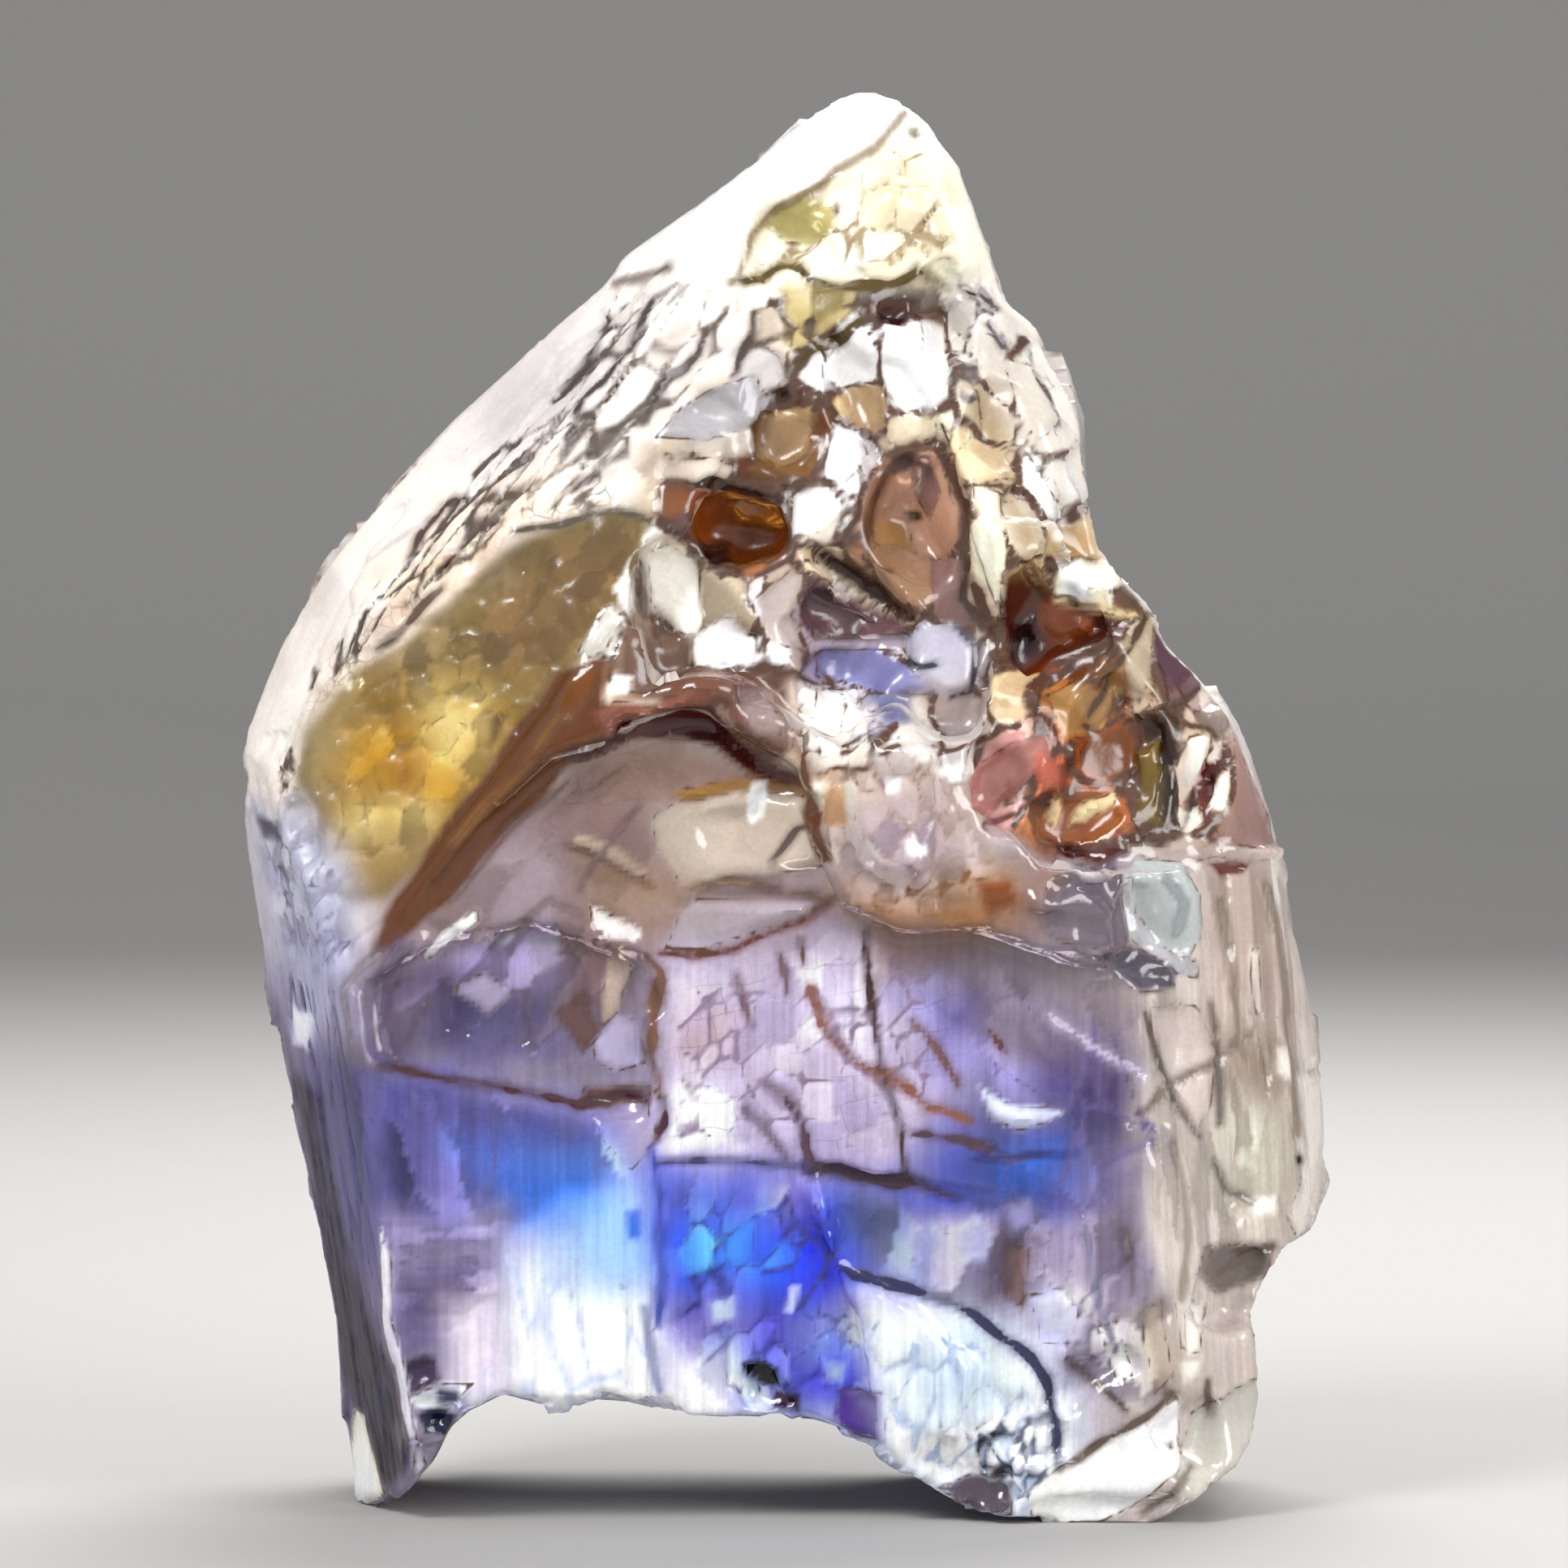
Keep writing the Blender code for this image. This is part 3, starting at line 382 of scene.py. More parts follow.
    ("dark knot under the peak", "321206", 4, "1072,372 1112,366 1127,382 1112,408 1076,402"),
    ("upper right rim", "E0D8CE", 12, "1160,400 1240,380 1290,450 1320,560 1332,640 1250,651 1230,540 "
     "1180,480"),
    ("tan rim", "C9B28A", 10, "1200,480 1240,560 1270,640 1300,700 1250,701 1230,600"),
    ("white rim facet", "FFFFFF", 5, "1260,560 1290,590 1312,640 1290,641 1260,600"),
    ("white rim facet low", "FFFDF6", 4, "1300,690 1330,700 1342,741 1310,731"),
    ("slope peach", "F4DEC8", 18, "480,700 560,640 660,580 682,592 560,720 490,790"),
    ("slope shade", "DCD8D8", 20, "600,480 700,400 762,400 700,520 600,561"),
    ("cream big facet", "FFFFFA", 4, "1260,1822 1330,1770 1400,1735 1446,1708 1446,1760 1452,1790 "
     "1400,1831 1340,1865 1270,1865"),
    ("foot beige", "5A5058", 5, "1150,1815 1200,1800 1241,1815 1241,1850 1190,1846"),
    ("right lobe white", "DCD8CE", 8, "1460,1730 1550,1690 1557,1760 1520,1802 1460,1836 1440,1822 "
     "1450,1780"),
    ("lobe beige", "D4C8B8", 10, "1380,1600 1450,1590 1471,1690 1400,1690"),
    ("lobe upper grey", "877A72", 8, "1480,1530 1572,1530 1560,1570 1500,1591 1470,1560"),
    ("lobe white strip", "EEE8E0", 6, "1455,1600 1481,1600 1476,1651 1455,1661"),
    ("lobe white strip low", "EEE8E0", 6, "1450,1666 1476,1660 1471,1681 1455,1691"),
    ("pale strip low right", "EEE8E0", 6, "1350,1620 1370,1610 1391,1680 1370,1681"),
)

# How far some of them stand proud of the skin, in millimetres; hollows are negative
RELIEF = {
    "riser amber in painted shade": -0.1, "brown hollow": -0.22, "hollow dark foot": -0.35, "dark wedge over it": -0.3,
    "dark mauve facet": -0.35, "dark mauve shadow": -0.2, "amber hollow": -0.22, "amber darkest": -0.3,
    "amber tip": -0.2, "pink hollow": -0.12, "orange": -0.12, "dark red foot": -0.25,
    "ledge red brown": -0.25, "ledge lip highlight": 0.08, "brow over the ledge": 0.1, "beige lens": 0.08,
    "pale lens below": 0.08, "left white sliver": 0.06, "glassy bead": 0.1,
    "white mass over the column": 0.14, "pink crystal a": 0.14, "pink crystal b": 0.14,
    "pink crystal c": 0.14, "pink crystal d": 0.14, "pink crystal e": 0.2,
    "red brown between crystals": -0.3, "white lens rim": 0.05, "slate shape": -0.14, "white step": 0.1,
    "maroon under the step": -0.14, "dark knot under the peak": -0.25, "black notch": -0.4,
    "plum under the notch": -0.2, "navy facet": -0.18, "dark square": -0.12,
    "brown band over the low ledge": -0.12, "white lilac shell": 0.1, "dark bead": -0.18,
    "orange glint left": 0.1, "orange glint right": 0.1, "brown dark right": -0.2, "tan facet": 0.06,
    "white facet": 0.06, "cream strip": 0.06, "pale wedge by the slab": 0.1, "grey lilac pane": -0.08,
}

# Cracks and dark lines of the front: name, hex, width in pixels, course
CRACKS = (
    ("edge of the smooth peak", "8E7C64", 4, "1115,135 1080,180 1030,210 1010,230 980,245 950,265 930,290 "
     "910,340"),
    ("olive crack under the peak", "4E3E14", 11, "900,350 940,345 960,330 975,325 1000,345 1040,355 "
     "1100,350 1130,335 1165,355"),
    ("groove under the peak", "4A3814", 20, "970,465 1000,435 1040,415 1065,395"),
    ("fold under the peak", "431F0C", 26, "1058,388 1085,376 1115,376 1132,390"),
    ("dot on the peak", "3A2A14", 13, "1031,256 1032,264"),
    ("black dot high", "2A221C", 9, "1125,160 1126,164"),
    ("right fleck high", "3A1610", 13, "1183,352 1202,360"),
    ("right fleck", "4A3A40", 14, "1212,356 1232,378"),
    ("right fleck low", "54464A", 15, "1216,398 1238,424"),
    ("slope crack a", "443630", 8, "745,385 735,410 720,445 680,490"),
    ("slope crack b", "443630", 9, "798,370 790,410 770,440 745,470 715,490 710,520 695,560"),
    ("slope crack c", "443630", 9, "870,410 860,440 845,455 818,475 798,510"),
    ("slope knot b", "2E2420", 15, "748,464 742,474"),
    ("slope knot c", "2E2420", 15, "822,470 815,480"),
    ("slope crack d", "443630", 8, "775,540 770,560 745,570 710,600"),
    ("slope crack e", "5A4638", 9, "665,590 640,605 590,620"),
    ("slope crack f", "4A382E", 8, "575,610 545,620 520,650 505,680 500,695"),
    ("slope crack g", "4A382E", 9, "620,640 590,645 570,665 545,700"),
    ("slope crack h", "5A4638", 9, "550,725 525,745 490,785 470,800"),
    ("slope crack i", "44362C", 14, "930,390 925,420 905,460"),
    ("slope smear", "6A5A4C", 9, "820,330 780,345 760,350"),
    ("slab top edge", "4E4434", 7, "640,655 700,645 760,630 800,640"),
    ("beside the pale facet", "4A3A34", 7, "790,690 795,760"),
    ("slit over the mauve facet", "2C1008", 14, "1015,685 1060,715 1110,755 1125,765"),
    ("edge of the tan facet", "4E3020", 7, "1100,700 1070,690 1072,650 1092,590 1112,556 1150,545 1190,620 "
     "1192,700 1215,775"),
    ("left of the cream strip", "4E3A30", 6, "1190,620 1188,680 1185,740 1215,780"),
    ("hollow top edge", "2A1408", 8, "850,600 880,596 925,606 968,618"),
    ("dark blob on the bead", "2C2C38", 15, "1118,811 1134,820 1150,818"),
    ("bead outline b", "4A4650", 6, "1175,770 1200,795 1196,850 1170,858"),
    ("arc on the lens", "5A4A44", 7, "955,1060 985,1015 1000,1010"),
    ("left of the column", "5E3822", 7, "985,900 992,960 1005,1000 1020,1060"),
    ("pink hollow edge", "6A4440", 7, "1205,1010 1250,995 1290,975"),
    ("light crack over the amber", "D0B890", 4, "1300,740 1350,750 1400,755"),
    ("right flake edge", "4E3828", 6, "1340,880 1360,840 1395,790 1425,740"),
    ("dark spot right", "4A2410", 16, "1338,892 1343,898"),
    ("under the mauve face", "5A2E1C", 8, "815,1165 850,1172 905,1165 930,1150 990,1125 1025,1100"),
    ("lens lower edge", "7A6250", 7, "855,1087 900,1078 960,1092 1025,1102"),
    ("thin sweep", "5E483C", 7, "705,1034 740,1048 790,1078 805,1085"),
    ("low ledge curve", "857A80", 5, "480,1160 450,1185 430,1210 437,1250 445,1290 475,1306"),
    ("second curve", "6A6076", 6, "500,1150 478,1190 472,1240 485,1285 505,1306"),
    ("low ledge line", "42262A", 9, "475,1304 505,1308 560,1320 620,1328 680,1340 715,1350 770,1335 "
     "800,1345"),
    ("brown column line", "6E4A3A", 12, "800,1168 817,1190 806,1240 802,1290 818,1340"),
    ("knot of the column", "40202C", 12, "818,1340 822,1370 812,1390"),
    ("blue vertical crack", "34449A", 9, "805,1400 810,1450 815,1500 818,1560 812,1620"),
    ("grey vertical crack", "98A0C0", 5, "795,1600 804,1650 812,1700"),
    ("long vertical crack", "3A2420", 10, "1065,1140 1070,1200 1085,1300 1100,1360 1115,1430"),
    ("short crack a", "5A3E38", 8, "985,1150 990,1180"),
    ("short crack b", "6A5058", 8, "910,1195 925,1255"),
    ("short crack c", "6A5058", 8, "960,1170 970,1215"),
    ("brown crack high", "7E5040", 15, "1000,1210 1015,1250 1035,1275 1060,1300 1100,1320 1130,1350 "
     "1190,1370"),
    ("brown crack low", "4C3444", 23, "945,1320 970,1340 990,1380 1000,1424"),
    ("branch of it", "564050", 13, "920,1355 950,1390 968,1412"),
    ("band top line", "33305E", 9, "815,1420 900,1416 1000,1425 1100,1446"),
    ("brown band", "382430", 20, "1000,1425 1060,1436 1120,1444 1180,1462"),
    ("brown band tail", "4A3440", 9, "1120,1386 1180,1392 1220,1404"),
    ("navy line right", "2A3068", 9, "1200,1416 1260,1412 1320,1410"),
    ("dark fleck right", "5A3A3A", 15, "1218,1262 1233,1288"),
    ("brown line in the violet", "6A4A48", 7, "1120,1250 1150,1285 1175,1330"),
    ("light diagonal", "B8AEC4", 9, "1290,1240 1340,1280 1400,1312"),
    ("black blue crack", "26264A", 12, "1030,1545 1060,1560 1110,1575 1160,1590 1200,1610 1240,1640 "
     "1265,1660 1290,1700 1300,1790"),
    ("knot line a", "5A4A40", 6, "1310,1660 1350,1690 1380,1720"),
    ("knot line b", "5A4A40", 6, "1440,1705 1400,1730 1350,1762 1300,1795"),
    ("knot", "6A5048", 15, "1428,1698 1442,1704"),
    ("lobe line", "6A5C50", 6, "1460,1795 1430,1830 1400,1848"),
    ("lobe slit", "5A4C44", 8, "1485,1690 1487,1730"),
    ("lobe speck", "3A3030", 9, "1434,1768 1436,1772"),
    ("black blot left", "14141C", 14, "1203,1778 1208,1762 1222,1752 1240,1756"),
    ("black blot low", "14141C", 12, "1214,1796 1228,1800 1240,1790"),
    ("black blob", "14141C", 17, "1262,1802 1272,1806"),
    ("lens line left", "5A5048", 6, "1405,1240 1420,1290 1450,1360 1475,1395"),
    ("lens line right", "6A6058", 5, "1490,1230 1500,1290 1500,1380"),
    ("flank line", "6A6058", 6, "1495,1425 1510,1460 1540,1480"),
    ("flank dot", "18100C", 13, "1602,1428 1604,1433"),
    ("mauve line", "6E5C5C", 5, "1380,1500 1390,1580"),
    ("lobe top shadow", "5A4A42", 12, "1500,1560 1535,1545 1570,1535"),
    ("white lens inner line", "8A9294", 5, "1430,1080 1452,1112 1444,1150"),
    ("line in the mauve face a", "6E5A58", 4, "560,1105 640,1010 700,960"),
    ("line in the mauve face b", "6E5A58", 4, "720,1090 760,1020 790,985"),
    ("line in the mauve face c", "746262", 4, "610,1160 680,1100 720,1120"),
    ("right flank crease a", "8A7A6C", 6, "1500,1110 1520,1200 1530,1300"),
    ("right flank crease b", "8A7A6C", 5, "1560,1090 1580,1180 1590,1290 1600,1400"),
    ("right flank crease c", "94867A", 5, "1440,1400 1460,1500 1450,1590"),
    ("right flank crease d", "7C6C60", 7, "1400,1360 1440,1330 1500,1300 1540,1270"),
    ("foot crease", "7A7890", 5, "1330,1500 1345,1580 1370,1650"),
)

# Small cells of the front: cell width, stretch, slant in degrees, wall width, groove depth and facet tilt in
# mm, roughness, how strongly the cells' own shades show, how often the walls are missing, fine web if any
WEBS = (
    dict(name="right flank", cell=0.48, stretch=6.0, slant=95, wall=0.012, groove=0.02, tilt=0.08,
         rough=0.16, strength=0.55, gaps=0.5, ink="A89C90", shades="F8F0E8 A89A8E D8C8BC FFFFFF B8A698",
         outline="1390,1060 1600,1060 1660,1440 1600,1540 1440,1600 1390,1480"),
    dict(name="violet right", cell=0.8, stretch=2.2, slant=115, wall=0.02, groove=0.04, tilt=0.12,
         rough=0.1, strength=0.6, gaps=0.3, ink="5C5080", shades="8E82BE 7468A0 AAA0D4 645890",
         outline="1190,1170 1400,1240 1440,1400 1400,1500 1180,1500 1190,1300"),
    dict(name="mauve face", cell=1.2, stretch=1.6, slant=30, wall=0.001, groove=0.02, tilt=0.08, rough=0.1,
         strength=0.6, gaps=0.2, ink="6C5A5E", shades="A08C8A B8A8A6 8A7674 AC9C9A",
         outline="560,1100 700,930 960,930 1020,1100 820,1180 790,1180 600,1180"),
    dict(name="mauve facets low", cell=0.55, stretch=2.6, slant=60, wall=0.014, groove=0.03, tilt=0.1,
         rough=0.12, strength=0.6, gaps=0.2, ink="54485A",
         shades="8278A2 B4ACD0 5C5078 D0C8E4 6A5A62 A09088",
         outline="490,1150 700,1110 800,1180 800,1330 640,1310 490,1290"),
    dict(name="left foot", cell=0.6, stretch=4.5, slant=98, wall=0.01, groove=0.03, tilt=0.06, rough=0.07,
         strength=0.35, gaps=0.5, ink="B4C4E8", shades="F4F8FF E4EEFF FFFFFF D4E0FA",
         outline="600,1500 820,1500 830,1730 560,1780"),
    dict(name="left violet", cell=0.7, stretch=3.0, slant=98, wall=0.01, groove=0.03, tilt=0.08,
         rough=0.08, strength=0.8, gaps=0.5, ink="5A5890", shades="6A68B0 48407C 7078D0 9890C0 3E3870",
         outline="470,1310 700,1350 800,1400 760,1450 620,1500 480,1500"),
    dict(name="growth steps", cell=0.3, stretch=5.0, slant=3, wall=0.012, groove=0.03, tilt=0.05,
         rough=0.12, strength=0.8, gaps=0.0, ink="5C5278", shades="A098B8 7E7494 C6BCDE 8A8290",
         outline="475,1480 620,1480 620,1580 560,1640 490,1640"),
    dict(name="left flank", cell=0.5, stretch=7.0, slant=98, wall=0.016, groove=0.03, tilt=0.08, rough=0.5,
         strength=0.3, gaps=0.4, ink="3C3658", shades="8A84A8 5C5678 A8A8C8 6E6A94 54485E",
         outline="310,1180 460,1180 500,1500 520,1850 430,1850 350,1400"),
    dict(name="blue band", cell=0.5, stretch=1.7, slant=75, wall=0.022, groove=0.03, tilt=0.1, rough=0.1,
         strength=0.7, gaps=0.3, ink="2A2C80", shades="3A5CE0 5A8CF8 3C3CC8 6A68C0 3A44C0 8CA8F8 2A3CA8",
         outline="815,1430 1060,1450 1070,1600 1080,1740 900,1730 820,1640"),
    dict(name="right foot", cell=0.62, stretch=1.6, slant=75, wall=0.01, groove=0.03, tilt=0.09,
         rough=0.12, strength=0.9, gaps=0.4, ink="685E78",
         shades="F0F0FF 8A7E96 C4B8E0 7C6C78 E8DCE0 A8A0C4",
         outline="1040,1460 1380,1480 1450,1600 1440,1720 1300,1700 1240,1620 1060,1550"),
    dict(name="bricks", sort="square", cell=0.6, stretch=1.2, slant=96, wall=0.03, groove=0.03, tilt=0.06,
         rough=0.14, strength=0.8, gaps=0.1, ink="84708A",
         shades="F4ECFA D8C8E0 ECDCE0 FFFFFF C8B8DC E8DCF0",
         outline="820,1185 900,1180 1000,1135 1080,1140 1150,1190 1170,1300 1130,1400 1080,1425 815,1415"),
    dict(name="icy foot", cell=0.55, stretch=2.0, slant=80, wall=0.026, groove=0.05, tilt=0.08, rough=0.1,
         strength=0.5, gaps=0.15, ink="A4B4D0", shades="FFFFFF E4EEFC FFFFFF F0F6FF",
         outline="1040,1570 1240,1640 1300,1720 1310,1840 1180,1850 1100,1790 1060,1700"),
    dict(name="foot crumbs", cell=0.42, stretch=1.2, slant=90, wall=0.04, groove=0.06, tilt=0.14,
         rough=0.14, strength=0.6, gaps=0.0, ink="5A6274", shades="E8EEF4 C0CAD8 FFFFFF A8B0C0",
         outline="1180,1720 1320,1700 1330,1850 1180,1850 1150,1800"),
    dict(name="smooth slope", cell=1.1, stretch=3.0, slant=50, wall=0.022, groove=0.02, tilt=0.08,
         rough=0.38, strength=0.4, gaps=0.3, ink="C8C0BC", shades="F0ECEA E8E2E0 ECE6E0",
         outline="290,1000 300,880 370,760 470,610 620,450 760,330 860,300 915,345 800,480 640,640 "
         "460,800 380,960"),
    dict(name="etched slope", cell=0.42, stretch=6.0, slant=57, wall=0.042, groove=0.09, tilt=0.14,
         rough=0.4, strength=0.7, gaps=0.12, ink="54463C", shades="F2EAE4 E6DCD2 FAF6F2 D8CCC2",
         outline="750,350 860,325 915,350 930,400 905,470 800,560 740,640 650,655 590,700 500,790 "
         "420,840 375,900 360,1000 300,980 330,880 370,810 450,720 510,640 570,570 650,490 700,420"),
    dict(name="slope by the slab", sort="round", cell=0.3, stretch=2.6, slant=50, wall=0.05, groove=0.07,
         tilt=0.12, rough=0.34, strength=0.6, gaps=0.15, ink="5E4C40",
         shades="F0DCCA FAF4EE E0CAB8 E8DCD2",
         outline="310,1000 330,900 440,760 560,650 680,600 760,580 800,570 740,640 650,655 590,700 "
         "500,790 430,850 380,900 375,1010"),
    dict(name="peak", cell=0.58, stretch=1.5, slant=62, wall=0.034, groove=0.06, tilt=0.18, rough=0.28,
         strength=0.75, gaps=0.1, ink="A08C68", shades="FFFDF2 F4EAD0 FFFFFF E4D8B0 FBF6E4",
         outline="1120,130 1160,180 1200,290 1180,350 1000,350 905,345 930,285 1010,230 1080,180"),
    dict(name="under the peak", cell=0.7, stretch=1.5, slant=62, wall=0.042, groove=0.05, tilt=0.14,
         rough=0.26, strength=0.75, gaps=0.15, ink="4C3C30",
         shades="FFFFFF F0E8DC DCCDB8 FFFAF0 B8A488 8A6E50",
         outline="900,350 1180,350 1150,420 1100,500 1000,480 900,560 800,600 760,640 780,560 900,470"),
    dict(name="right rim", cell=0.5, stretch=1.9, slant=112, wall=0.04, groove=0.05, tilt=0.12, rough=0.24,
         strength=0.6, gaps=0.3, ink="544A46", shades="FFFFFF E4E0DE FFFCF4 C4BCB6 F0E4D0",
         outline="1160,340 1230,350 1300,420 1330,560 1350,680 1260,690 1220,560 1140,480"),
    dict(name="broken centre", cell=0.8, stretch=1.9, slant=72, wall=0.036, groove=0.05, tilt=0.16,
         rough=0.24, strength=0.8, gaps=0.2, ink="5A4236",
         shades="FFF8EE DCCBB4 B8946C F4EEE8 A4847C C8B4A0 7C5A44",
         outline="800,600 980,480 1100,420 1230,560 1250,700 1230,870 1200,940 1010,950 940,840 780,860 "
         "760,820 790,700"),
    dict(name="right hollow", cell=0.75, stretch=1.9, slant=120, wall=0.036, groove=0.05, tilt=0.16,
         rough=0.24, strength=0.8, gaps=0.2, ink="4E3424",
         shades="A0703C 8A5A28 6A4420 C8A070 A88074 7A4A20 DCC4A4",
         outline="1230,690 1340,680 1430,780 1500,860 1540,960 1560,1040 1400,1040 1280,1040 1210,1000 "
         "1220,860"),
    dict(name="column", cell=0.46, stretch=1.5, slant=95, wall=0.016, groove=0.03, tilt=0.1, rough=0.2,
         strength=0.7, gaps=0.4, ink="8A7064", shades="E8E0DA BCA8A0 FFFCFA D0B8A8 A898A8",
         outline="985,870 1210,860 1220,1060 1160,1120 1030,1110 1000,1000"),
    dict(name="foot of the column", cell=0.32, stretch=1.2, slant=20, wall=0.03, groove=0.03, tilt=0.08,
         rough=0.16, strength=0.7, gaps=0.2, ink="7C5434", shades="C49868 E0BC90 A07040 D8C0A8",
         outline="1020,1070 1260,1040 1270,1120 1180,1150 1040,1130"),
    dict(name="left corner", cell=0.36, stretch=1.4, slant=62, wall=0.03, groove=0.04, tilt=0.08,
         rough=0.35, strength=0.7, gaps=0.2, ink="565068", shades="C0C2D8 E4E4F0 9A94B0 D0CCDC",
         outline="300,985 400,1000 440,1080 460,1160 400,1210 325,1160"),
    dict(name="slab grain", cell=0.5, stretch=1.2, slant=50, wall=0.012, groove=0.04, tilt=0.04,
         rough=0.24, strength=0.55, gaps=0.6, ink="70582C",
         shades="B49C60 8A7038 D8C080 6C5830 E8CC88 A08850 C0A468",
         outline="440,830 600,700 760,632 800,645 740,790 560,1020 430,1108 380,960"),
)

# Where the web of square-cornered cells lies, on the lilac pane
BRICK_OUTLINE = (
    "820,1185 900,1180 1000,1135 1080,1140 1180,1200 1190,1380 1110,1425 815,1415"
)

# The broken part, where facets meet in seams
BROKEN_OUTLINE = (
    "800,600 905,470 900,350 1180,350 1240,380 1300,430 1340,560 1350,680 1430,760 1500,860 1560,1040 "
    "1280,1050 1210,1000 1180,930 1010,960 960,860 780,860 720,830 770,740"
)

# The shader's patterns: how the fine webs waver and fade, and the streaks along the prism
WAVER_SIZE = 0.9 * MM
WAVER_REACH = 0.5 * MM
FADE_SIZE = 1.4 * MM
STREAK_WIDTH = 0.13 * MM
STREAK_LENGTH = 3.0 * MM

# The fine webs of the skin: cell width and length, wall as a share of the cell, and how dark the walls are
WEB_SORTS = ("round", "square")
FINE_WEBS = ((0.34 * MM, 0.42 * MM, 0.075, 0.75), (0.42 * MM, 0.50 * MM, 0.05, 0.22))

# Gloss and light from inside wash colours out, so the paint is a little deeper and darker than it looks
DEEPEN = 1.16
DARKEN = 1.2
LIFT = 1.12
BRIGHTEST = 0.94
CELL_CONTRAST = 0.8
CELL_HUE = 0.35
LIGHTNESS = np.array([0.3, 0.5, 0.2])

# How clear the crystal is where it is glassy, behind, where it is dull and on dark lines; paint that is as
# pale or as dark as this is dull; then its index, its gloss and how rough its glassy and frosted skins are
BODY_CLEAR = 0.50
BACK_CLEAR = 0.4
DULL_CLEAR = 0.12
PALE_PAINT = (0.55, 0.9)
DARK_PAINT = (-0.16, -0.04)
LINE_CLEAR = 0.06
ZOISITE_IOR = 1.69
ZOISITE_SPECULAR = 0.35
GLASSY_ROUGHNESS = 0.16
FROSTED_ROUGHNESS = 0.34

# The sides that the photograph doesn't show: how pale they are, how strong stain and frost are and where
# they lie, in millimetres of height, the half width of the veins and how steep the broken faces are
BACK_PALE = 0.22
STAIN_STRENGTH = 0.55
FROST_STRENGTH = 0.65
VEIN = 0.03
SMALL_VEIN = 0.025
BROAD_TILT = 0.26
SMALL_TILT = 0.20
BACK_LEAN = np.array([0.5, 1.0, 0.7])
STAIN_HEIGHT = (8.0, 14.0)
FROST_HEIGHT = (4.0, 7.0)
FROST_FACING = (0.15, 0.55)

# Facets: above this softness in pixels only the colour is laid, spread wider. Sizes are in millimetres, the
# shades and tilts are shares. Facets get painted shading along their tilt, and painted shadow at their edges
# and seams
FACET_SOFTNESS = 9
WIDE_SOFTNESS = 3.5
# painted shading across each facet, lighter up its tilt and darker down it
FACET_PAINTED_SHADING = 0.22
FACET_TILT = 0.17
FACET_REACH = 0.08
OUTLINE_DRIFT = 0.08
GOLDEN_ANGLE = 2.39996
SMALL_FACET = 0.9
GROWTH = 0.60
FACET_BEVEL = (-0.03, 0.16)
KEPT_RELIEF = 0.25
LINE_CLEARANCE = 0.08
ZONE_DRIFT = 0.7
CELL_LEAN = np.array([0.4, 1.0, 0.0])
EDGE_LINE = 0.016
# painted shadow: how much the colour darkens just outside each facet's edge
EDGE_PAINTED_SHADOW = 0.15
EDGE_INK = "54392C"
SEAM_LINE = 0.030
# painted shadow: how much the colour darkens along the seams where facets meet
SEAM_PAINTED_SHADOW = 0.35

# Facets that glow with their own colour, and facets whose etched cells show through
GLOWING = (
    "sky blue", "blue above", "bright blue spot", "centre blue", "bright blue heart", "blue patch bright",
    "deep violet blue", "blue mass low",
)
ETCHED = ("slab olive", "left dark strip", "riser amber in painted shade")

# Cracks, grooves along the prism and the skin's unevenness, in millimetres, and how much they darken
CORE_WIDTH = 0.06
LINE_FLOOR = 0.025
LINE_FADE = 0.09
LINE_OUTSIDE = 0.03
LINE_INSIDE = 0.012
GROOVE_DEPTH = 0.022
GROOVE_STRETCH = 22.0
GROOVE_SHADE = 0.05
WOBBLE_DEPTH = 0.011
MOTTLE_SHADE = 0.07
PRISM_TOP = (9.5, 12.0)

# The fine mesh: faces that look this far towards the front are cut finer, edges above this angle stay sharp
FINE_FACING = -0.18
SMOOTHINGS = 3
SHARP_EDGE = 50.0

# The card on the stage, in millimetres: how far it reaches, where it starts to bend up, the bend's radius
SWEEP_REACH = 1200
SWEEP_START = 180
SWEEP_BEND = 90
SWEEP_STEPS = 32
CARD_ROUGHNESS = 0.9

# Studio light: where the lamps aim, in millimetres, and how strong they and the pale room are
LIGHT_TARGET = (0, 0, 13)
KEY_WATTS = 0.155
FILL_WATTS = 0.12
BACK_WATTS = 0.26
ROOM_COLOUR = "EDEFF4"
ROOM_STRENGTH = 0.7

# The camera, in millimetres and degrees, and how far the crystal's front stands before its middle
CAMERA_LENS = 180.0
CAMERA_SENSOR = 36.0
CAMERA_LIFT = 2.0
FRONT_Y = -2.0

# Smooth patterns over the crystal: the size of their largest lumps in millimetres, and their seed
PATTERNS = {
    "wobble": (0.8, 11), "zone drift": (3.0, 21), "outline drift": (0.9, 14), "facet edge": (0.7, 200),
    "seam": (0.7, 199), "wall gaps": (1.1, 60), "crack width": (0.4, 18), "crack gaps": (0.9, 19),
    "grooves": (0.34, 31), "mottle": (0.5, 35), "stain": (3.2, 93), "stain edge": (0.8, 94),
    "vein gaps": (2.0, 95),
}

# The cells: the seed of the front's, then slant, stretch, size and seed of the two sizes behind, and the
# numbers that scatter a lattice's seeds
CELL_SEED = 40
BACK_CELLS = ((75, 1.7, 2.3, 90), (62, 2.0, 0.9, 91))
LATTICE_OFFSET = 4096.0
LATTICE_PRIMES = np.array([73856093, 19349663, 83492791])
SEED_PRIME = 2654435761
MIX_PRIME = 1274126177
TURN_PRIME = 374761393
LOW_BITS = 0xFFFF

# What counts as front: how far a face looks towards the viewer, and how far forward it lies in millimetres
FRONT_FACING = (0.02, 0.30)
FRONT_DEPTH = (-2.0, 0.0)
EYE_WEIGHTS = np.array([0.21, 0.72, 0.07])


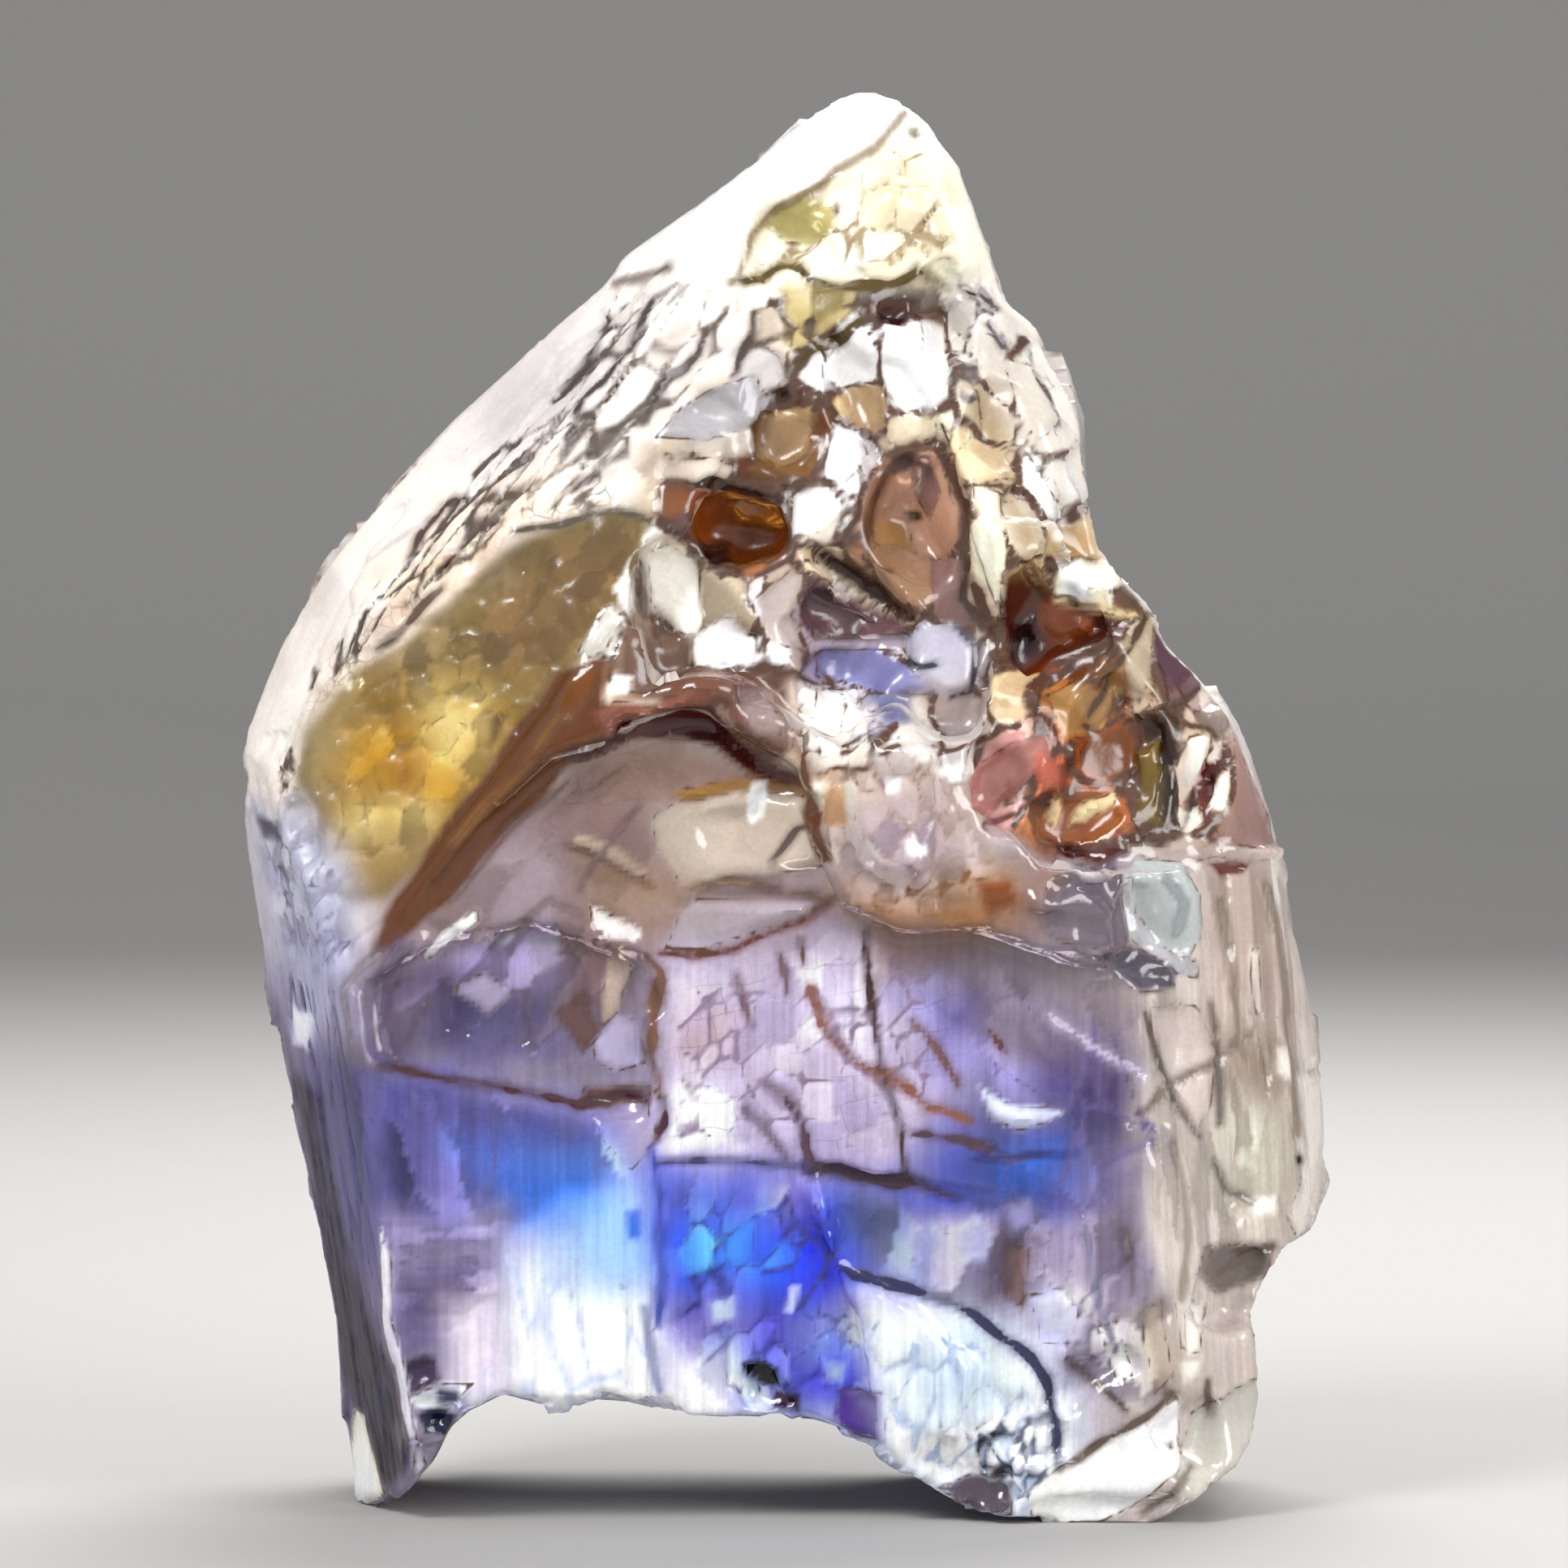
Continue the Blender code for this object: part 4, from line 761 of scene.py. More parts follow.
def to_linear(code):
    """Turn an sRGB hex code into linear red, green and blue."""
    values = [int(code[i:i + 2], 16) / 255.0 for i in (0, 2, 4)]
    return tuple(v / 12.92 if v <= 0.04045 else ((v + 0.055) / 1.055) ** 2.4 for v in values)


def on_crystal(course):
    """Turn a course in the photograph's pixels into millimetres across and up the crystal's front."""
    points = []
    for pair in course.split():
        u, v = pair.split(",")
        points.append(((int(u) - PHOTO_ORIGIN_U) * MM_PER_PIXEL, (PHOTO_FLOOR_V - int(v)) * MM_PER_PIXEL))
    return points


def smooth_step(value, low, high):
    """Rise gently from 0 at the low value to 1 at the high one."""
    share = np.clip((value - low) / (high - low), 0.0, 1.0)
    return share * share * (3.0 - 2.0 * share)


def cell_numbers(cells, seed):
    """Three even random numbers from 0 to 1 for each cell of a lattice."""
    mixed = cells @ LATTICE_PRIMES + seed * SEED_PRIME
    numbers = []
    for turn in range(3):
        mixed = (mixed ^ (mixed >> 13)) * MIX_PRIME + turn * TURN_PRIME
        mixed = mixed ^ (mixed >> 16)
        numbers.append((mixed & LOW_BITS) / LOW_BITS)
    return np.stack(numbers, axis=1)


def smooth_noise(points, size, seed, layers=3):
    """Smooth noise from about -1 to 1 at points in millimetres, its largest lumps of the given size."""
    total = np.zeros(len(points))
    for layer in range(layers):
        spread = points * 2 ** layer / size + LATTICE_OFFSET
        home = np.floor(spread).astype(np.int64)
        part = spread - home
        part = part * part * (3.0 - 2.0 * part)
        for step in product((0, 1), repeat=3):
            weight = np.prod(np.where(np.array(step) == 1, part, 1.0 - part), axis=1)
            value = cell_numbers(home + np.array(step), seed + layer)[:, 0] * 2.0 - 1.0
            total += weight * value / 2 ** layer
    return total / 1.75


def pattern(points, name, turn=0):
    """A smooth pattern by its name; each turn gives it another seed."""
    size, seed = PATTERNS[name]
    return smooth_noise(points, size, seed + turn)


def cell_pattern(points, size, seed):
    """Cells round scattered seeds: distance to the nearest wall in mm, place from the seed, own numbers."""
    spread = points / size + LATTICE_OFFSET
    home = np.floor(spread).astype(np.int64)
    nearest = np.full(len(points), 9.0)
    second = np.full(len(points), 9.0)
    offset = np.zeros((len(points), 3))
    own = np.zeros((len(points), 3))
    for step in product((-1, 0, 1), repeat=3):
        numbers = cell_numbers(home + np.array(step), seed)
        away = spread - (home + np.array(step) + numbers)
        gap = np.linalg.norm(away, axis=1)
        closer = gap < nearest
        second = np.where(closer, nearest, np.minimum(second, gap))
        nearest = np.where(closer, gap, nearest)
        offset[closer] = away[closer]
        own[closer] = numbers[closer]
    return (second - nearest) * 0.5 * size, offset * size, own


def along_slant(points, degrees, stretch):
    """Points in a frame whose first axis slants up across the front, squeezed by the stretch."""
    turn = math.radians(degrees)
    ahead = points[:, 0] * math.cos(turn) + points[:, 2] * math.sin(turn)
    aside = points[:, 2] * math.cos(turn) - points[:, 0] * math.sin(turn)
    return np.stack([ahead / stretch, aside, points[:, 1]], axis=1)


def distance_to_course(x, z, points, closed):
    """Distance in mm to a run of straight lines in the front view, negative inside a closed one."""
    best = np.full(len(x), 1e9)
    inside = np.zeros(len(x), dtype=bool)
    ends = points[1:] + points[:1] if closed else points[1:]
    for (x0, z0), (x1, z1) in zip(points, ends):
        along_x, along_z = x1 - x0, z1 - z0
        share = ((x - x0) * along_x + (z - z0) * along_z) / (along_x ** 2 + along_z ** 2 + 1e-9)
        share = np.clip(share, 0.0, 1.0)
        best = np.minimum(best, np.hypot(x - x0 - share * along_x, z - z0 - share * along_z))
        if closed and z1 != z0:
            crosses = (z0 > z) != (z1 > z)
            inside ^= crosses & (x < along_x * (z - z0) / along_z + x0)
    return np.where(inside, -best, best)


def facet_tilt(points, order, x, z):
    """How far each place lies up the tilt of a facet, which turns with the facet's order, in mm."""
    middle = np.mean(points, axis=0)
    turn = order * GOLDEN_ANGLE
    return (x - middle[0]) * math.cos(turn) + (z - middle[1]) * math.sin(turn)


def near_course(places, points, reach):
    """The vertices within reach of the box round a course, as indices."""
    across = [p[0] for p in points]
    up = [p[1] for p in points]
    return np.flatnonzero(
        (places[:, 0] > min(across) - reach) & (places[:, 0] < max(across) + reach)
        & (places[:, 2] > min(up) - reach) & (places[:, 2] < max(up) + reach)
    )


class Skin:
    """The crystal's vertices, with what is painted and carved on them."""

    def __init__(self, mesh):
        count = len(mesh.vertices)
        places = np.empty(count * 3)
        mesh.vertices.foreach_get("co", places)
        normals = np.empty(count * 3)
        mesh.vertices.foreach_get("normal", normals)
        self.places = places.reshape(-1, 3) / MM
        self.normals = normals.reshape(-1, 3)
        self.tint = np.ones((count, 3))
        self.shade = np.ones((count, 3))
        self.relief = np.zeros(count)
        self.frost = np.full(count, GLASSY_ROUGHNESS)
        self.clear = np.full(count, BODY_CLEAR)
        self.line = np.full(count, 0.5)
        self.line_tint = np.ones((count, 3))
        self.plain = np.zeros(count)
        self.webs = np.zeros((count, 3))
        self.front = smooth_step(-self.normals[:, 1], *FRONT_FACING)
        self.front *= smooth_step(-self.places[:, 1], *FRONT_DEPTH)
        self.wobble = pattern(self.places, "wobble")
        drift = np.stack([pattern(self.places, "outline drift", axis) for axis in range(3)], axis=1)
        self.bent = self.places + drift * OUTLINE_DRIFT

    def paint(self, chosen, weight, code):
        """Lay a colour; pale fracture frost and dark iron stain let less light through than glassy zones."""
        colour = np.array(to_linear(code))
        light = colour @ EYE_WEIGHTS
        dull = smooth_step(light, *PALE_PAINT) + smooth_step(-light, *DARK_PAINT)
        self.clear[chosen] += weight * (BODY_CLEAR + (DULL_CLEAR - BODY_CLEAR) * dull - self.clear[chosen])
        weight = weight[:, None]
        self.tint[chosen] = self.tint[chosen] * (1.0 - weight) + colour * weight

    def lay_zones(self, zones):
        """Broad colours that run through the body, seen from all sides."""
        drift = pattern(self.places, "zone drift")
        for _, code, softness, outline in zones:
            soft = softness * MM_PER_PIXEL
            distance = distance_to_course(self.places[:, 0], self.places[:, 2], on_crystal(outline), True)
            weight = 1.0 - smooth_step(distance + drift * soft * ZONE_DRIFT, -soft, soft)
            self.paint(np.arange(len(weight)), weight, code)

    def add_facets(self, facets, relief):
        """Painted facets of the front, each with its own tilt, painted shading along the tilt and painted
        shadow just round its edge; hollows and lumps are sunk or raised.
        """
        self.grow_facets(facets)
        for order, (name, code, softness, outline) in enumerate(facets):
            points = on_crystal(outline)
            soft = softness * MM_PER_PIXEL
            if softness > FACET_SOFTNESS:
                soft = soft * WIDE_SOFTNESS
            chosen = near_course(self.places, points, soft + 0.4)
            x, z = self.bent[chosen, 0], self.bent[chosen, 2]
            distance = distance_to_course(x, z, points, True) + self.wobble[chosen] * (0.02 + 0.45 * soft)
            front = self.front[chosen]
            weight = (1.0 - smooth_step(distance, -soft, soft)) * front
            self.paint(chosen, weight, code)
            if name in GLOWING:
                self.clear[chosen] += weight * (DULL_CLEAR - self.clear[chosen])
            if name in ETCHED or (softness > FACET_SOFTNESS and name not in relief):
                continue
            tilt = facet_tilt(points, order, x, z)
            reach = max(np.abs(tilt).max() - soft - 0.3, 0.2)
            # painted shading: the facet is lighter up its tilt and darker down it, as if lit from one side
            shade = 1.0 + FACET_PAINTED_SHADING * np.clip(tilt / reach, -1.0, 1.0) * weight
            self.tint[chosen] *= shade[:, None]
            level = np.clip(tilt * FACET_TILT, -FACET_REACH, FACET_REACH)
            depth = relief.get(name, 0.0)
            level = level + depth * smooth_step(-distance, 0.0, 0.12 + 0.7 * abs(depth))
            inside = smooth_step(-distance, *FACET_BEVEL) * front
            keep = 1.0 - (1.0 - KEPT_RELIEF) * inside
            self.relief[chosen] = self.relief[chosen] * keep + level * inside
            self.line[chosen] += inside * LINE_CLEARANCE
            self.webs[chosen] *= (1.0 - 0.8 * inside)[:, None]
            self.shade[chosen] += (1.0 - self.shade[chosen]) * (0.85 * inside)[:, None]
            self.plain[chosen] = np.maximum(self.plain[chosen], inside)
            if np.ptp(points, axis=0).max() < SMALL_FACET:
                continue
            broken = smooth_step(pattern(self.places[chosen], "facet edge", order), -0.45, 0.35)
            rim = np.abs(distance) - EDGE_LINE * broken * front + (1.0 - front)
            # painted shadow in the crease just round the facet's edge
            edge_shadow = 1.0 - smooth_step(np.abs(distance + 0.02), 0.0, 0.10)
            self.tint[chosen] *= (1.0 - EDGE_PAINTED_SHADOW * edge_shadow * broken * front)[:, None]
            self.draw_line(chosen, rim, EDGE_INK)

    def grow_facets(self, facets):
        """Between the drawn facets of the broken part, each point takes after the facet nearest to it, with
        painted shadow along the seams where they meet.
        """
        field = on_crystal(BROKEN_OUTLINE)
        chosen = near_course(self.places, field, 0.2)
        x, z = self.bent[chosen, 0], self.bent[chosen, 2]
        inside = 1.0 - smooth_step(distance_to_course(x, z, field, True), -0.15, 0.15)
        closest = np.full(len(chosen), GROWTH)
        second = np.full(len(chosen), GROWTH)
        colours = np.ones((len(chosen), 3))
        level = np.zeros(len(chosen))
        for order, (name, code, softness, outline) in enumerate(facets):
            points = on_crystal(outline)
            if softness > FACET_SOFTNESS or np.ptp(points, axis=0).max() < GROWTH or name in ETCHED:
                continue
            distance = distance_to_course(x, z, points, True)
            nearer = distance < closest
            second = np.where(nearer, closest, np.minimum(second, distance))
            closest = np.where(nearer, distance, closest)
            colours[nearer] = to_linear(code)
            tilt = facet_tilt(points, order, x, z)
            level = np.where(nearer, np.clip(tilt * FACET_TILT, -FACET_REACH, FACET_REACH), level)
        weight = inside * self.front[chosen] * (1.0 - smooth_step(closest, 0.85 * GROWTH, GROWTH))
        gap = second - closest
        shown = (weight * 0.85)[:, None]
        # painted shadow darkens the colour along the seams between facets
        seam = 1.0 - SEAM_PAINTED_SHADOW * (1.0 - smooth_step(gap, 0.0, 0.22)) * weight
        self.tint[chosen] = (self.tint[chosen] * (1.0 - shown) + colours * shown) * seam[:, None]
        self.relief[chosen] += (level - self.relief[chosen]) * weight * 0.8
        broken = smooth_step(pattern(self.places[chosen], "seam"), -0.6, 0.3)
        self.draw_line(chosen, gap * 0.3 - SEAM_LINE * broken * weight + (1.0 - weight) * 0.3, EDGE_INK)

    def add_webs(self, webs):
        """Webs of etched grooves round small cells, each cell a facet of its own with its own shade."""
        for order, web in enumerate(webs):
            points = on_crystal(web["outline"])
            chosen = near_course(self.places, points, 0.6)
            places = self.places[chosen]
            distance = distance_to_course(places[:, 0], places[:, 2], points, True)
            mask = 1.0 - smooth_step(distance + self.wobble[chosen] * 0.35, -0.45, 0.15)
            mask = mask * self.front[chosen]
            size, wall = web["cell"], web["wall"]
            slanted = along_slant(self.bent[chosen], web["slant"], web["stretch"])
            gap, offset, own = cell_pattern(slanted, size, CELL_SEED + order)
            groove = 1.0 - smooth_step(gap, 0.0, wall * 2.6)
            lean = offset @ CELL_LEAN * (own[:, 0] - 0.5) * 2.0 * web["tilt"] / size
            self.relief[chosen] += mask * (lean - groove * web["groove"])
            shades = np.array([to_linear(code) for code in web["shades"].split()])
            usual = shades.mean(axis=0)
            picked = shades[np.minimum((own[:, 1] * len(shades)).astype(int), len(shades) - 1)]
            weight = (mask * web["strength"])[:, None]
            self.tint[chosen] += (usual - self.tint[chosen]) * weight
            hue = picked / usual
            lightness = (picked @ LIGHTNESS / (usual @ LIGHTNESS))[:, None]
            contrast = (lightness * (hue / lightness) ** CELL_HUE) ** CELL_CONTRAST
            self.shade[chosen] += (contrast - self.shade[chosen]) * weight
            self.frost[chosen] += mask * (web["rough"] - self.frost[chosen])
            for channel, sort in enumerate(WEB_SORTS):
                drawn = mask if sort == web.get("sort") else 0.0
                self.webs[chosen, channel] += mask * (drawn - self.webs[chosen, channel])
            dull = smooth_step(web["rough"], 0.12, 0.30)
            self.clear[chosen] += mask * dull * (DULL_CLEAR - self.clear[chosen])
            patchy = smooth_step(pattern(places, "wall gaps", order), web["gaps"] - 0.5, web["gaps"] + 0.3)
            width = wall * patchy * (0.3 + 0.9 * own[:, 2])
            self.draw_line(chosen, gap - width * mask + (1.0 - mask) * 0.2, web["ink"])

    def draw_line(self, chosen, distance, code):
        """Keep the nearest line: its distance in mm, negative inside the line, and its colour."""
        closer = distance < self.line[chosen]
        index = chosen[closer]
        self.line[index] = distance[closer]
        self.line_tint[index] = to_linear(code)

    def mark_bricks(self):
        """Where the square-cornered web of the lilac pane shows."""
        points = on_crystal(BRICK_OUTLINE)
        distance = distance_to_course(self.places[:, 0], self.places[:, 2], points, True)
        shown = 1.0 - smooth_step(distance + self.wobble * 0.3, -0.5, 0.1)
        self.webs[:, WEB_SORTS.index("square")] = shown * self.front

    def add_cracks(self, cracks):
        """Open cracks: a tapered dark line with a groove under it."""
        for _, code, width, course in cracks:
            points = on_crystal(course)
            half = width * MM_PER_PIXEL * 0.5
            chosen = near_course(self.places, points, half + 0.6)
            chosen = chosen[self.front[chosen] > 0.3]
            x, z = self.bent[chosen, 0], self.bent[chosen, 2]
            distance = distance_to_course(x, z, points, False)
            ends = np.minimum(
                np.hypot(x - points[0][0], z - points[0][1]), np.hypot(x - points[-1][0], z - points[-1][1])
            )
            taper = 0.45 + 0.55 * smooth_step(ends, 0.0, half * 6.0)
            thick = 0.85 + 1.3 * pattern(self.places[chosen], "crack width")
            narrow = half * taper * np.clip(thick, 0.25, 1.7)
            edge = distance - np.maximum(np.minimum(narrow, CORE_WIDTH + 0.45 * narrow), LINE_FLOOR)
            edge += LINE_FADE * smooth_step(pattern(self.places[chosen], "crack gaps"), 0.05, 0.5)
            self.draw_line(chosen, edge, code)
            shadow = 1.0 - smooth_step(distance, 0.5 * narrow, 1.5 * narrow + 0.10)
            self.paint(chosen, 0.75 * shadow, code)
            self.relief[chosen] -= (1.0 - smooth_step(edge, -0.05, 0.10)) * (0.015 + 0.1 * half)

    def add_grain(self):
        """Growth grooves along the prism, small chips elsewhere, and mottling."""
        along = self.places @ LONG_AXIS
        across = self.places - along[:, None] * LONG_AXIS
        grooves = pattern(across + LONG_AXIS * along[:, None] / GROOVE_STRETCH, "grooves")
        upright = smooth_step(0.45 - np.abs(self.normals @ LONG_AXIS), 0.0, 0.2)
        calm = 1.0 - 0.6 * self.plain
        self.relief += grooves * upright * calm * GROOVE_DEPTH
        self.relief += self.wobble * WOBBLE_DEPTH * calm
        mottle = pattern(self.places, "mottle")
        self.tint *= (1.0 + MOTTLE_SHADE * mottle + GROOVE_SHADE * grooves * upright)[:, None]

    def dress_back(self):
        """The sides that the photograph doesn't show: broken facets, thin stain in the hollows, veins."""
        back = 1.0 - self.front
        everything = np.arange(len(back))
        self.tint += (1.0 - self.tint) * (back * BACK_PALE)[:, None]
        self.clear += back * (BACK_CLEAR - self.clear)
        broad, small = [
            cell_pattern(along_slant(self.bent, slant, stretch), size, seed)
            for slant, stretch, size, seed in BACK_CELLS
        ]
        gap, offset, own = broad
        small_gap, small_offset, small_own = small
        self.relief += back * (offset @ BACK_LEAN) * (own[:, 0] - 0.5) * BROAD_TILT
        self.relief += back * (small_offset @ BACK_LEAN) * (small_own[:, 0] - 0.5) * SMALL_TILT
        self.tint *= (1.0 - back * (0.10 + 0.22 * own[:, 1] + 0.12 * small_own[:, 1]))[:, None]
        high = smooth_step(self.places[:, 2], *STAIN_HEIGHT)
        patches = pattern(self.places, "stain") + 0.25 * pattern(self.places, "stain edge")
        stain = smooth_step(patches, 0.0, 0.9)
        self.paint(everything, back * stain * high * STAIN_STRENGTH, BACK_STAIN)
        frosted = smooth_step(self.normals[:, 2], *FROST_FACING)
        frosted *= smooth_step(self.places[:, 2], *FROST_HEIGHT)
        self.paint(everything, back * frosted * FROST_STRENGTH, BACK_FROST)
        self.frost += back * frosted * (FROSTED_ROUGHNESS - self.frost)
        patchy = smooth_step(pattern(self.places, "vein gaps"), 0.0, 0.5)
        some = smooth_step(own[:, 2], 0.5, 0.7)
        for wall, width in ((small_gap, SMALL_VEIN * patchy), (gap, VEIN * some)):
            self.draw_line(everything, wall - width * back + self.front * 0.3, BACK_VEIN)

    def write(self, mesh):
        """Move the vertices by the relief and store the painted fields on the mesh."""
        moved = self.places + self.normals * self.relief[:, None]
        moved[:, 2] = np.maximum(moved[:, 2], 0.0)
        mesh.vertices.foreach_set("co", (moved * MM).ravel())
        tint = self.tint * self.shade
        grey = (tint @ LIGHTNESS)[:, None]
        body = np.clip(grey + (tint - grey) * DEEPEN, 0.003, 1.0)
        body = np.clip(body ** DARKEN * LIFT, 0.0, BRIGHTEST)
        for name, values in (("tint", body), ("line_tint", self.line_tint), ("webs", self.webs)):
            layer = mesh.color_attributes.new(name, 'FLOAT_COLOR', 'POINT')
            layer.data.foreach_set("color", np.column_stack([values, np.ones(len(values))]).ravel())
        clear = np.clip(self.clear, 0.0, 1.0)
        low = 1.0 - smooth_step(self.places[:, 2], *PRISM_TOP)
        streak = low * (1.0 - 0.7 * self.plain)
        fields = {"frost": self.frost, "line": self.line, "clear": clear, "streak": streak}
        for name, values in fields.items():
            mesh.attributes.new(name, 'FLOAT', 'POINT').data.foreach_set("value", values)


def fine_copy(step, base):
    """The crystal's solid as an even mesh, twice as fine on the front, snapped back onto the solid."""
    item = bpy.data.objects.new("fine_base", base)
    bpy.context.scene.collection.objects.link(item)
    remesh = item.modifiers.new("even mesh", 'REMESH')
    remesh.mode = 'VOXEL'
    remesh.voxel_size = step
    bpy.context.view_layer.update()
    fine = bpy.data.meshes.new_from_object(item.evaluated_get(bpy.context.evaluated_depsgraph_get()))
    bpy.data.objects.remove(item, do_unlink=True)
    skin = BVHTree.FromPolygons([v.co for v in base.vertices], [p.vertices for p in base.polygons])
    cells = bmesh.new()
    cells.from_mesh(fine)
    cells.normal_update()
    front = {edge for face in cells.faces if face.normal.y < FINE_FACING for edge in face.edges}
    bmesh.ops.subdivide_edges(cells, edges=list(front), cuts=1, use_grid_fill=True)
    for vert in cells.verts:
        vert.co = skin.find_nearest(vert.co)[0]
    for turn in range(SMOOTHINGS):
        bmesh.ops.smooth_vert(
            cells, verts=cells.verts, factor=0.5, use_axis_x=True, use_axis_y=True, use_axis_z=True,
        )
    bmesh.ops.triangulate(cells, faces=[face for face in cells.faces if len(face.verts) > 4])
    cells.to_mesh(fine)
    cells.free()
    return fine


def node(tree, kind, settings=None, **links):
    """Add one shader node: settings are its properties and inputs, links go into named inputs."""
    new = tree.nodes.new(kind)
    for key, value in (settings or {}).items():
        if key[0] == "_":
            new.inputs[int(key[1:])].default_value = value
        elif key in new.inputs:
            new.inputs[key].default_value = value
        else:
            setattr(new, key, value)
    for name, source in links.items():
        tree.links.new(source, new.inputs[int(name[1:]) if name[0] == "_" else name.replace("_", " ")])
    return new


def web_walls(tree, place):
    """Thin dark walls of two webs: round cells and square cells."""
    share = node(
        tree, "ShaderNodeSeparateColor", None,
        Color=node(tree, "ShaderNodeAttribute", {"attribute_name": "webs"}).outputs["Color"],
    )
    waver = node(tree, "ShaderNodeTexNoise", {"Scale": 1.0 / WAVER_SIZE, "Detail": 2.0}, Vector=place)
    sway = node(
        tree, "ShaderNodeVectorMath", {"operation": 'MULTIPLY_ADD'}, _0=waver.outputs["Color"],
    )
    sway.inputs[1].default_value = (WAVER_REACH, WAVER_REACH, WAVER_REACH)
    tree.links.new(place, sway.inputs[2])
    fade = node(tree, "ShaderNodeTexNoise", {"Scale": 1.0 / FADE_SIZE, "Detail": 1.0}, Vector=place)
    faded = node(
        tree, "ShaderNodeMapRange", {"From Min": 0.40, "From Max": 0.60}, Value=fade.outputs["Fac"],
    )
    darks = []
    for channel, (width, length, wall, depth) in enumerate(FINE_WEBS):
        turned = node(
            tree, "ShaderNodeMapping",
            {"Rotation": (0.0, LEAN, 0.0), "Scale": (1.0 / width, 1.0 / width, 1.0 / length)},
            Vector=sway.outputs[0],
        )
        if channel == 0:
            web = node(
                tree, "ShaderNodeTexVoronoi", {"feature": 'DISTANCE_TO_EDGE', "Scale": 1.0},
                Vector=turned.outputs[0],
            ).outputs["Distance"]
        else:
            flat = node(tree, "ShaderNodeMapping", {"Rotation": (math.radians(-90), 0.0, 0.0)},
                        Vector=turned.outputs[0])
            web = node(
                tree, "ShaderNodeTexBrick",
                {"Scale": 1.0, "Mortar Size": wall, "Mortar Smooth": 0.6, "Brick Width": 1.0,
                 "Row Height": 1.0, "Color1": (1, 1, 1, 1), "Color2": (1, 1, 1, 1), "Mortar": (0, 0, 0, 1)},
                Vector=flat.outputs[0],
            ).outputs["Color"]
            wall = 0.5
        wall_share = node(
            tree, "ShaderNodeMapRange",
            {
                "interpolation_type": 'SMOOTHSTEP', "From Min": wall, "From Max": 0.0, "To Min": 0.0,
                "To Max": depth,
            },
            Value=web,
        )
        masked = node(
            tree, "ShaderNodeMath", {"operation": 'MULTIPLY'},
            _0=wall_share.outputs[0], _1=share.outputs[channel],
        )
        broken = node(
            tree, "ShaderNodeMath", {"operation": 'MULTIPLY'}, _0=masked.outputs[0], _1=faded.outputs[0],
        )
        darks.append(broken.outputs[0])
    most = node(tree, "ShaderNodeMath", {"operation": 'MAXIMUM'}, _0=darks[0], _1=darks[1])
    return node(
        tree, "ShaderNodeMath", {"operation": 'SUBTRACT', "use_clamp": True, "_0": 1.0}, _1=most.outputs[0],
    ).outputs[0]


